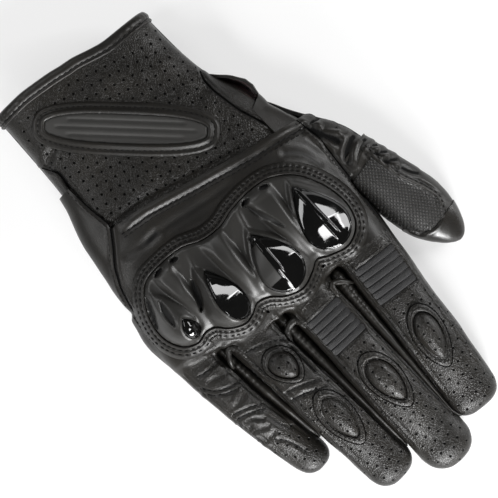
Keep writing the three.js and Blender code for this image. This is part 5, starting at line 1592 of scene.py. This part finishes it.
gloss, tree, shader = new_finish("polished_insert", Specular_IOR_Level=0.5, IOR=1.5)
haze = wire(tree, "TexNoise", Vector=object_place(tree), Scale=0.25, Detail=5.0,
            Roughness=0.65).outputs["Fac"]
satin = attribute(tree, "punched")
paint = tint(tree, tint(tree, (0.0012, 0.0012, 0.0012), (0.003, 0.003, 0.0028), haze),
             (0.012, 0.0115, 0.0105), satin)
polish = calc(tree, "MAXIMUM", remap(tree, haze, 0.35, 0.8, 0.03, 0.09), calc(tree, "MULTIPLY", satin, 0.42))
surfaced(tree, shader, paint, polish, haze, 0.006)
INSERT_CRESTS = {
    "index": [(-74.5, -32), (-73.7, -20), (-74, 14), (-74.2, 52)],
    "middle": [(-16.6, -34), (-11.6, -12), (-10, 12), (-8, 44)],
    "ring": [(51, -30), (54, -20), (57.6, 0), (58.7, 9.5), (58.5, 24), (57, 40)],
    "little": [(94, -10), (95, 40)],
}
SATIN_FACETS = {"middle": (-0.5, 17.6)}
INSERT_RISE = {"index": 7.7, "middle": 7.7, "ring": 7.3, "little": 6.0}
for label, *drop in INSERTS:
    small = drop[2] < 5
    edge = teardrop_outline(drop, -0.25, 60 if small else 150)
    flat, faces = filled(edge, [], 0.34 if small else 0.28)
    crest, share = beside(flat, plan_line(INSERT_CRESTS[label]))
    rib_half = 0.5 + 0.7 * share
    rib = 0.36 * np.exp(-(((np.abs(crest) - rib_half) / 0.3) ** 2)) * np.clip((1 - share) / 0.12, 0, 1)
    rib = rib * (label in ("index", "middle"))
    rim = to_outline(flat, edge)
    crest_line = plan_line(INSERT_CRESTS[label])
    crest_x = np.interp(flat[:, 1], crest_line[:, 1], crest_line[:, 0])
    z = insert_height(drop, flat[:, 0], flat[:, 1], crest_x,
                      INSERT_RISE[label]) + 0.1 - 0.7 * np.exp(-((rim / 0.35) ** 2))
    points = smoothed(np.column_stack([flat, z]), faces, 3, 0.4)
    points[:, :2] = flat
    points[:, 2] += rib
    satin = np.zeros(len(flat))
    if label in SATIN_FACETS:
        low, high = SATIN_FACETS[label]
        satin = (np.clip((np.abs(crest) - rib_half - 0.4) / 0.15, 0, 1) * (flat[:, 0] > drop[0]) * (crest < 0)
                 * np.clip((flat[:, 1] - low) / 0.3, 0, 1) * np.clip((high - flat[:, 1]) / 0.3, 0, 1))
    piece = thick_panel(f"{label}_knuckle_insert_gloss", plate_rows(points, faces, punched=satin), faces,
                        1.4, finish=gloss,
                        slot="gloss_insert", nodes=[f"{label}_knuckle_insert"])
    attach(piece, "hand")

foam, tree, shader = new_finish("guard_foam", Specular_IOR_Level=0.2)
cells = wire(tree, "TexVoronoi", Vector=object_place(tree), Scale=2.2).outputs["Distance"]
surfaced(tree, shader, tint(tree, (0.03, 0.03, 0.03), (0.07, 0.07, 0.07), cells), 0.95, cells, 0.15)
foam_outline = grown_outline(guard_edge, -2.0)
flat, faces = filled(foam_outline, [], 2.0)
points = np.column_stack([flat, back_height(flat[:, 0], flat[:, 1]) + GUARD_SEAT])
piece = thick_panel("knuckle_foam_pad", plate_rows(points, faces), faces, 1.1, finish=foam, slot="foam",
                    nodes=["knuckle_foam"])
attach(piece, "hand")

# The surround: a folded strip of hide that laps the guard's edge, sewn down with two rows of thread. It
# puckers at each stitch, and its outer edge lies flat on the back of the hand.
SURROUND_EDGE = 56.6
SURROUND_ROWS = [(0.1, 0.3), (0.15, 2.0), (0.4, 2.9), (0.8, 3.2), (1.2, 3.05), (1.5, 2.7), (1.8, 2.3),
                 (2.1, 2.15), (2.4, 2.2),
                 (2.7, 2.3), (3.0, 2.25), (3.3, 2.05), (3.6, 1.8), (3.9, 1.65), (4.2, 1.6), (4.6, 1.5),
                 (5.1, 1.1), (5.6, 0.6),
                 (6.0, 0.1), (6.2, -0.6)]
edge_count, stitch_count = 720, 112
guard_ring = round_outline(GUARD_OUTLINE, edge_count)[::-1]
loops = []
for out, rise in SURROUND_ROWS:
    loop = grown_outline(guard_ring, out)
    for _ in range(int(out * 3)):
        loop = (np.roll(loop, 1, 0) + 2 * loop + np.roll(loop, -1, 0)) / 4
    loop[:, 0] = np.minimum(loop[:, 0], SURROUND_EDGE + out * 0.15)
    loops.append(np.column_stack([loop, back_height(*loop.T) + rise]))
points = np.vstack(loops)
faces = turned_to(points, grid_triangles(edge_count, len(SURROUND_ROWS), closed=True), (0, 0, 1))
ring_share = np.tile(np.arange(edge_count) / edge_count, len(SURROUND_ROWS))
reach = np.repeat([out for out, _ in SURROUND_ROWS], edge_count)
near_rows = sum(np.exp(-(((reach - out) / 0.6) ** 2)) for out in (2.1, 3.9, 4.8))
puckers = 0.12 * near_rows * np.cos(2 * np.pi * ring_share * stitch_count)
points[:, 2] += puckers + 0.1 * rolling(points, 31, 9.0)
normals = vertex_normals(points, faces)
beads = []
for row in (7, 13):
    for k in np.round((np.arange(stitch_count) + 0.5) / stitch_count * edge_count).astype(int):
        here, after, before = (row * edge_count + (k + step) % edge_count for step in (0, 1, -1))
        beads.append((points[here] + normals[here] * 0.1, points[after] - points[before], normals[here], 1.9,
                      0.29))
# Dark beads of painted shade along the gap between the surround and the guard.
inner_gap_shade = [(points[edge_count + k], points[edge_count + (k + 3) % edge_count] - points[edge_count + k],
              np.array([0.0, 0.0, 1.0]), 1.6, 0.22) for k in range(0, edge_count, 3)]
# Edge: rub on the raised fold, and painted shade, as negative values, in the inner groove and along the stitch rows.
tread = np.repeat([rise for _, rise in SURROUND_ROWS], edge_count)
groove = np.exp(-(((reach - 0.1)
                   / 0.22) ** 2)) + 0.35 * sum(np.exp(-(((reach - out) / 0.3) ** 2)) for out in (2.1, 3.9))
piece = thick_panel("guard_surround_leather",
                    plate_rows(points, faces, edge=np.clip((tread - 2.5) / 0.6, 0, 1) * 0.5 - groove * 0.9),
                    faces,
                    0.9, finish=leather, beads=beads, pits=inner_gap_shade, slot="leather",
                    nodes=["guard_surround"])
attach(piece, "hand")

# The cuff: a perforated back and a plain palm side that pass under the hand's hems, a folded binding round
# the mouth and a dark red cloth lining
CUFF_OFFSET = -1.7
CUFF_MOUTH = np.array([(-60, -105.4), (-34, -106), (-14, -107), (6, -112.4), (26, -115), (60, -115)])
CUFF_LINES = [
    ("seam", 1.0, 0.75, [(-106, -62), (-96, -86), (-88, -108), (-85.5, -120), (-82, -140), (-82, -156),
                         (-88, -172)]),
    ("seam", 0.28, 0.5, [(-80, -136), (-70, -124), (-60, -111)]),
    ("seam", 0.25, 0.5, [(-82, -131), (-72, -121), (-63, -110)]),
    ("seam", 1.0, 0.75, [(112, -70), (101, -92), (96, -112), (93, -140), (90, -165), (87, -186), (96, -202)]),
    ("fold", 0.35, 4.0, [(-66, -165), (-52, -180), (-44, -200)]),
    ("fold", 0.25, 4.0, [(60, -120), (52, -140), (50, -165)]),
    ("fold", 0.25, 4.0, [(-80, -200), (-50, -215), (-10, -240)]),
    ("fold", 0.8, 2.0, [(94, -196), (84, -204), (72, -208)]),
    ("fold", 0.3, 3.4, [(76, -112), (50, -108), (10, -104)]),
    ("fold", 0.3, 3.0, [(-84, -146), (-70, -150), (-54, -146)]),
    ("seam", 0.25, 0.5, [(-83, -126), (-73, -116), (-63, -106)]),
    ("seam", 0.22, 0.6, [(-56, -96), (-68, -104), (-80, -116)]),
]


def cuff_grid(start_angle, stop_angle, columns, rows, ends, grown):
    """A grid of points on the cuff: ends gives where each column starts and stops along the hand."""
    turn = np.linspace(start_angle, stop_angle, columns)
    shape_x, shape_z = rounded(turn, 2 / HAND_ROUNDNESS)
    x, _, half, _ = hand_section(np.full(columns, -80.0), CUFF_OFFSET)
    first, last = ends(x + half * shape_x)
    y = first[None, :] + (last - first)[None, :] * np.linspace(0, 1, rows)[:, None]
    x, z, half, deep = (v.reshape(y.shape) for v in hand_section(y.ravel(), CUFF_OFFSET + grown))
    return np.stack([x + half * shape_x, y, z + deep * shape_z], axis=-1).reshape(-1, 3)


def mouth_at(x):
    return np.interp(x, CUFF_MOUTH[:, 0], CUFF_MOUTH[:, 1])


def back_ends(x):
    return mouth_at(x) + 0.3, hem_at(x) + 4.5


CUFF_COLUMNS, CUFF_ROWS = 190, 120
points = cuff_grid(0.0, np.pi, CUFF_COLUMNS, CUFF_ROWS, back_ends, 0.0)
faces = turned_to(points, grid_triangles(CUFF_COLUMNS, CUFF_ROWS), (0, 0, 1))
normals = vertex_normals(points, faces)
cuff_plain = points.copy()
free = np.clip((-38 - points[:, 1]) / 20, 0.25, 1)
free = free * np.clip((points[:, 1] - mouth_at(points[:, 0])) / 14, 0.15, 1)
under_hem = points[:, 1] - hem_at(points[:, 0])
move = -1.2 * np.clip((under_hem + 10) / 8, 0, 1) ** 2
waves = 0.45 * rolling(points, 41, 42.0) + 0.07 * rolling(points, 42, 15.0)
move += free * waves + 0.02 * rolling(points, 43, 5.0)
# The seam grooves also collect painted shade, which darkens them through negative edge values.
seam_shade = np.zeros(len(points))
for kind, depth, width, pixels in CUFF_LINES:
    line_move = embossed(points, normals, plan_line(pixels), kind, depth, width)
    move += line_move
    seam_shade += np.clip(-line_move - 0.2, 0, 1) * (kind == "seam")
points = points + normals * move[:, None]
cuff_tree = BVHTree.FromPolygons(points.tolist(), faces.tolist())
turn = math.radians(-16)
lattice = lattice_of(points[:, 0], points[:, 1], 4.35, turn)
left_seam, right_seam = (np.array(CUFF_LINES[k][3]) * PIXEL for k in (0, 3))
clear_of_hems = np.minimum.reduce([
    points[:, 1] - mouth_at(points[:, 0]) - 7.0, under_hem * -1 - 2.0,
    points[:, 0] - np.interp(points[:, 1], left_seam[::-1, 1], left_seam[::-1, 0]) - 2.5,
    np.interp(points[:, 1], right_seam[::-1, 1], right_seam[::-1, 0]) - points[:, 0] - 2.5,
])
beads = []
for k, distance in ((0, 1.2), (3, -1.2)):
    line = offset_line(plan_line(CUFF_LINES[k][3]), distance)
    beads += stitch_row(cuff_tree, line, pitch=2.4, length=1.6, radius=0.26)
u, v = lattice_spots(4.35, turn, (-60, -125), (60, -20))
open_spots = ((v > mouth_at(u) + 8) & (v < hem_at(u) - 2.5)
              & (u > np.interp(v, left_seam[::-1, 1], left_seam[::-1, 0]) + 3)
              & (u < np.interp(v, right_seam[::-1, 1], right_seam[::-1, 0]) - 3))
# Flat dark discs of painted shade in the perforations, and dark beads of painted shade along the two seams.
pits = punched_at(cuff_tree, np.stack([u, v], axis=1)[open_spots], radius=0.5)
for k in (0, 3):
    pits += gap_row(cuff_tree, plan_line(CUFF_LINES[k][3]), radius=0.3)
rows = plate_rows(points, faces, edge=-np.clip(seam_shade * 1.6, 0, 1), lattice=lattice,
                  punched=np.clip(clear_of_hems, 0, 1))
piece = thick_panel("cuff_back_panel_leather", rows, faces, LEATHER_THICK, finish=punched_leather,
                    beads=beads, pits=pits,
                    slot="perforated_leather", nodes=["cuff_back_panel"])
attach(piece, "hand")

points = cuff_grid(-np.pi, 0.0, 150, 80, lambda x: (mouth_at(x) + 0.3, np.full(len(x), PALM_HEM_AT + 4.5)),
                   0.0)
faces = turned_to(points, grid_triangles(150, 80), (0, 0, -1))
points += vertex_normals(points, faces) * (0.25 * rolling(points, 44, 38.0))[:, None]
points[:, 2] = np.maximum(points[:, 2], 0.6)
piece = thick_panel("cuff_palm_panel_leather", plate_rows(points, faces), faces, LEATHER_THICK,
                    finish=leather,
                    slot="leather", nodes=["cuff_palm_panel"])
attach(piece, "hand")

lining, tree, shader = new_finish("lining_cloth", Sheen_Weight=0.2, Specular_IOR_Level=0.2)
threads = placed_group(tree, WEAVE, Place=object_place(tree), Thread=0.35).outputs
surfaced(tree, shader, tint(tree, (0.02, 0.004, 0.0045), (0.06, 0.012, 0.013), threads["Fleck"]),
         calc(tree, "MULTIPLY_ADD", threads["Height"], 0.1, 0.85), threads["Height"], 0.1)
points = cuff_grid(0.0, 2 * np.pi * 199 / 200, 200, 50,
                   lambda x: (mouth_at(x) + 4.6, np.full(len(x), -42.0)), -1.9)
faces = grid_triangles(200, 50, closed=True)
normals = vertex_normals(points, faces)
if (normals * (points - points.mean(0))).sum() > 0:
    faces = faces[:, ::-1]
piece = thick_panel("cuff_lining_cloth", plate_rows(points, faces), faces, -0.6, finish=lining,
                    slot="lining", nodes=["cuff_lining"])
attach(piece, "hand")

# The binding, a strip of hide folded over the mouth of the cuff and sewn through with one row of thread.
# It covers the raw edges of the hide and of the lining.
BINDING_ROWS = [(4.9, -0.1), (4.75, 0.8), (4.3, 1.1), (3.7, 1.0), (3.3, 0.5), (2.9, 1.0), (1.9, 1.45),
                (0.9, 1.25), (0.1, 1.05),
                (-0.6, 0.5), (-0.95, -0.5), (-0.7, -1.5), (-0.1, -2.2), (0.9, -2.55), (2.4, -2.6),
                (4.6, -2.4)]
turns = 320
turn = 2 * np.pi * np.arange(turns) / turns
shape_x, shape_z = ring_shape(turns, HAND_ROUNDNESS)
loops = []
x, _, half, _ = (float(v[0]) for v in hand_section(-110, CUFF_OFFSET))
mouth = mouth_at(x + half * shape_x)
for _ in range(20):
    mouth = (np.roll(mouth, 1) + 2 * mouth + np.roll(mouth, -1)) / 4
for back, out in BINDING_ROWS:
    pucker = 0.07 * np.sin(turn * 46) * (0.5 < back) * (out > 0)
    x, z, half, deep = hand_section(mouth + back, CUFF_OFFSET + out)
    loops.append(np.column_stack([x + (half + pucker) * shape_x, mouth + back,
                                  z + (deep + pucker) * shape_z]))
points = np.vstack(loops)
points[:, 2] = np.maximum(points[:, 2], 0.15)
faces = grid_triangles(turns, len(BINDING_ROWS), closed=True)
normals = vertex_normals(points, faces)
if (normals[:turns * 6] * (points[:turns * 6] - points.mean(0))).sum() < 0:
    faces = faces[:, ::-1]
binding_tree = BVHTree.FromPolygons(points.tolist(), faces.tolist())
row = np.array([(x, y) for x, y, z in loops[5] if z > 22])
row = row[np.argsort(row[:, 0])]
row = row[(row[:, 0] > -33) & (row[:, 0] < 40)]
beads = stitch_row(binding_tree, row + (0, 0.2), pitch=2.7, length=1.9, radius=0.4)
# Painted shade, as negative edge values, at the binding's inner edge and in its fold.
binding_crease_shade = np.repeat([-1.0 if k == 0 else (-0.8 if k == 4 else 0.0) for k in range(len(BINDING_ROWS))],
                       turns)
piece = thick_panel("cuff_binding_leather", plate_rows(points, faces, edge=binding_crease_shade), faces, 0.5,
                    finish=leather, beads=beads, slot="leather",
                    nodes=["cuff_binding"])
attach(piece, "hand")

# The badge: a plain moulded lozenge in a sewn border of hide, with three pressed grooves. The
# rubber is set in the border, and the border is stitched on the perforated back of the cuff.
BADGE = dict(x=3.4, y=-74.0, length=80.0, width=23.0, turn=45.0)
rubber, tree, shader = new_finish("moulded_rubber", Specular_IOR_Level=0.4)
dust = wire(tree, "TexNoise", Vector=object_place(tree), Scale=0.15, Detail=5.0, Roughness=0.6).outputs["Fac"]
speckle = wire(tree, "TexNoise", Vector=object_place(tree), Scale=5.0, Detail=2.0).outputs["Fac"]
surfaced(tree, shader, tint(tree, (0.019, 0.0185, 0.017), (0.032, 0.031, 0.029), dust),
         calc(tree, "MULTIPLY_ADD", speckle, 0.15, 0.5), speckle, 0.02)
spin = math.radians(BADGE["turn"])
lozenge = np.stack(rounded(2 * np.pi * np.arange(400) / 400, 0.67), axis=1)
lozenge = lozenge * (BADGE["width"] / 2, BADGE["length"] / 2)


def badge_place(points):
    return np.stack([BADGE["x"] + points[:, 0] * math.cos(spin) - points[:, 1] * math.sin(spin),
                     BADGE["y"] + points[:, 0] * math.sin(spin) + points[:, 1] * math.cos(spin)], axis=1)


outer_edge = even_outline(lozenge, 210)
cuff_plain_tree = BVHTree.FromPolygons(cuff_plain.tolist(), grid_triangles(CUFF_COLUMNS, CUFF_ROWS).tolist())


def badge_piece(label, inset, spacing, profile, grooves, thickness, hollow=None, sewn_at=None, **looks):
    """A plate on the cuff: profile gives its height at distances in from the badge's edge."""
    edge = grown_outline(outer_edge, -inset) if inset else outer_edge
    flat, faces = filled(edge, [grown_outline(outer_edge, -hollow)[::-1]] if hollow else [], spacing)
    up = np.interp(to_outline(flat, outer_edge), *zip(*profile))
    for at, width, depth, reach in grooves:
        bar = np.exp(-(((flat[:, 0] - at) / width) ** 2)) * np.clip((reach - np.abs(flat[:, 1])) / 2, 0, 1)
        up = up - depth * bar
    spot = badge_place(flat)
    points = np.column_stack([spot, heights_on(cuff_plain_tree, spot, 36.0) + up])
    if sewn_at:
        tree = BVHTree.FromPolygons(points.tolist(), faces.tolist())
        line = badge_place(grown_outline(outer_edge, -sewn_at))
        looks["beads"] = stitch_row(tree, line, pitch=2.4, length=1.6, radius=0.25, closed=True)
    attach(thick_panel(label, plate_rows(points, faces), faces, thickness, **looks), "hand")


badge_piece("wrist_badge_border", 0, 0.7,
            [(0, 0.2), (0.5, 1.0), (1.2, 1.15), (1.9, 0.95), (2.3, 0.7), (2.8, 1.0),
                                           (3.6, 1.9), (4.4, 2.1), (5.0, 1.8), (5.4, 1.2)], [], 0.8,
                                           hollow=5.2,
            sewn_at=2.2, finish=leather, slot="leather")
badge_piece("wrist_badge_rubber", 4.9, 0.75, [(4.9, 0.6), (5.3, 1.2), (6.0, 1.35), (12, 1.5)],
            [(-3.2, 0.5, 0.7, 26), (0.0, 0.5, 0.7, 31), (3.2, 0.5, 0.7, 26)], 1.0, finish=rubber,
            slot="badge_rubber", nodes=["wrist_badge"])

# The wrist gusset: a flared lip of hide at the thumb side, open to the back, with the red lining inside it.
# It lets the wrist open for the hand, and its ends are sewn under the hide of the cuff and of the thumb.
LIP_ENDS = -46.5
LIP = np.array([(-70, -37.6), (-67.5, -38.8), (-63.5, -42.5), (-60, -45.8), (-55.3, -48.8), (-51.4, -49.7),
                (-46.6, -48.6),
                (-40.7, -49), (-35.3, -51), (-31, -52.6), (-27, -54)])
columns, rows = 46, 80
y = np.linspace(-70, -27, rows)
first = np.radians(np.interp(y, [-70, LIP_ENDS - 0.5, -43.5, -27], [172.5, 172.5, 147, 140]))
last = np.radians(np.interp(y, [-70, LIP_ENDS - 0.5, -44, -27], [232, 232, 190, 187]))
ring_angle = first[:, None] + (last - first)[:, None] * np.linspace(0, 1, columns)[None, :]
shape_x, shape_z = rounded(ring_angle, 2 / HAND_ROUNDNESS)
x, z, half, deep = (v[:, None] for v in hand_section(y, CUFF_OFFSET + 0.4))
swell = x - np.interp(y, LIP[:, 0], LIP[:, 1])[:, None] - half
swell = swell * np.abs(np.cos(ring_angle)) ** 3 * np.clip((np.degrees(ring_angle) - 151) / 16, 0, 1)
lip = np.stack([x + (half + swell) * shape_x, np.repeat(y[:, None], columns, axis=1),
                z + (deep + 0.3 * swell) * shape_z], axis=-1)
points = lip.reshape(-1, 3)
points += 0.25 * rolling(points, 51, 9.0)[:, None] * np.array([1, 0, 0.4])
faces = turned_to(points, grid_triangles(columns, rows), (-1, 0, 0))
piece = thick_panel("wrist_gusset_leather", plate_rows(points, faces), faces, 1.2, finish=leather,
                    slot="leather", nodes=["wrist_gusset"])
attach(piece, "hand")
y = y[y < LIP_ENDS]
rows, top_edge = len(y), lip[:len(y), 0]
depth_rows = 10
inner = []
for k in range(depth_rows + 1):
    t = k / depth_rows
    x, z, half, deep = hand_section(y, CUFF_OFFSET + 0.3)
    floor_x = x - half * 0.985
    inner.append(np.column_stack([(top_edge[:, 0] + 1.3) * (1 - t) + floor_x * t, y,
                                  top_edge[:, 2] - 0.4 - 7.5 * np.sin(t * np.pi) ** 0.8 + 1.5 * t]))
points = np.vstack(inner)
faces = turned_to(points, grid_triangles(rows, depth_rows + 1), (0, 0, 1))
piece = thick_panel("wrist_gusset_lining", plate_rows(points, faces), faces, 0.5, finish=lining,
                    slot="lining")
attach(piece, "hand")

# The wrist strap under the cuff: hide with hook tape on its inner side, closing on a loop patch sewn to the
# cuff. Its root is sewn down beside the gusset, and the rest stands a little further off the cuff.
tape, tree, shader = new_finish("hook_tape", Specular_IOR_Level=0.3)
hooks = wire(tree, "TexVoronoi", Vector=object_place(tree), Scale=1.4).outputs["Distance"]
surfaced(tree, shader, tint(tree, (0.006, 0.006, 0.006), (0.03, 0.03, 0.03), hooks), 0.9, hooks, 0.4)


def under_cuff(label, left, right, start, stop, offset, thickness, finish, slot, nodes, tab=0.0, root=0.0,
               sewn_rows=()):
    """A band that follows the underside of the cuff at an offset from it. A root is the width over which its left end
    comes down on the cuff, where it is sewn."""

    def lift(px):
        if root == 0:
            return offset
        seat = CUFF_OFFSET + thickness + 0.1
        rise = np.clip((px - left - root / 3) / (root * 2 / 3), 0, 1)
        return seat + (offset - seat) * rise ** 2 * (3 - 2 * rise)

    columns, rows = 60, 22
    share_x, share_y = np.meshgrid(np.linspace(0, 1, columns), np.linspace(0, 1, rows))
    width = 1 - tab * np.clip((share_x - 0.82) / 0.18, 0, 1) ** 2
    px = left + (right - left) * share_x
    py = (start + stop) / 2 + (stop - start) * (share_y - 0.5) * width
    grown = lift(px)
    x, z, half, deep = (v.reshape(px.shape) for v in hand_section(py.ravel()))
    half, deep = half + grown, deep + grown
    pz = z - deep * (1 - np.clip(np.abs((px - x) / half), 0, 1) ** HAND_ROUNDNESS) ** (1 / HAND_ROUNDNESS)
    points = np.stack([px, py, pz], axis=-1).reshape(-1, 3)
    faces = turned_to(points, grid_triangles(columns, rows), (0, 0, -1))
    beads = []
    for line in sewn_rows:
        run = np.array(line, float)
        count = int(np.linalg.norm(run[1] - run[0]) / 2.4)
        for t in (np.arange(count) + 0.5) / count:
            at = run[0] + (run[1] - run[0]) * t
            sx, sz, sh, sd = (float(v[0]) for v in hand_section(at[1], lift(at[0])))
            drop = sz - sd * (1 - min(abs((at[0] - sx) / sh), 1) ** HAND_ROUNDNESS) ** (1 / HAND_ROUNDNESS)
            beads.append((np.array([at[0], at[1], drop]), np.append(run[1] - run[0], 0),
                          np.array([0, 0, -1.0]), 1.7, 0.26))
    return thick_panel(label, plate_rows(points, faces), faces, thickness, finish=finish, slot=slot,
                       beads=beads, nodes=nodes)


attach(under_cuff("loop_patch_tape", -10, 24, -64.5, -51.5, -0.6, 0.7, tape, "hook_tape", ["loop_patch"]),
        "hand")
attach(under_cuff("hook_patch_tape", -10, 24, -64.5, -51.5, 0.5, 0.7, tape, "hook_tape", ["hook_patch"]),
        "strap")
strap = under_cuff("wrist_strap_leather", -38, 27, -66.5, -49.5, 2.4, 1.5, leather, "leather",
                   ["wrist_strap"], tab=0.35,
                   root=12, sewn_rows=[((-23, -65), (14, -65)), ((-23, -51), (14, -51)),
                                       ((-37, -65), (-37, -51)),
                                       ((-34.6, -65), (-34.6, -51))])
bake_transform(strap)

# Palm padding: a crowned heel pad that the glove rests on, and a flat grip patch, both sewn to the palm.
# The heel pad is hide over foam, and the grip patch is a second layer of suede.
PALM_PAD_TURNS, PALM_PAD_RINGS = 96, 18
for label, x, y, width, length, rise, finish, slot, node in (
    ("palm_heel_pad_cover", 26, -14, 34, 40, 2.6, leather, "leather", "palm_heel_pad"),
    ("palm_grip_patch_suede", -24, 4, 30, 36, 1.1, suede, "palm_suede", "palm_grip_patch"),
):
    shares = 1 - np.linspace(0, 1, PALM_PAD_RINGS + 1)[:-1] ** 0.8
    ring = np.stack(rounded(2 * np.pi * np.arange(PALM_PAD_TURNS) / PALM_PAD_TURNS, 0.72), axis=1)
    ring = ring * (width / 2, length / 2)
    flat = np.vstack([ring * share + (x, y) for share in shares] + [[(x, y)]])
    size = np.append(np.repeat(shares, PALM_PAD_TURNS), 0.0)
    base = np.empty(len(flat))
    for i, (px, py) in enumerate(flat):
        hit, _, _, _ = plain_tree.ray_cast(Vector((px, py, -40)), Vector((0, 0, 1)))
        base[i] = hit[2] if hit is not None else 3.0
    up = np.interp(size, [0, 0.5, 0.8, 0.88, 0.92, 0.97, 1.0], [rise, rise, rise * 0.7, 0.3, 0.5, 0.4, -0.4])
    points = np.column_stack([flat, np.maximum(base - up, 0.0)])
    faces = turned_to(points, crowned_triangles(PALM_PAD_TURNS, PALM_PAD_RINGS), (0, 0, -1))
    piece = thick_panel(label, plate_rows(points, faces), faces, 0.9, finish=finish, slot=slot, nodes=[node])
    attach(piece, "hand")
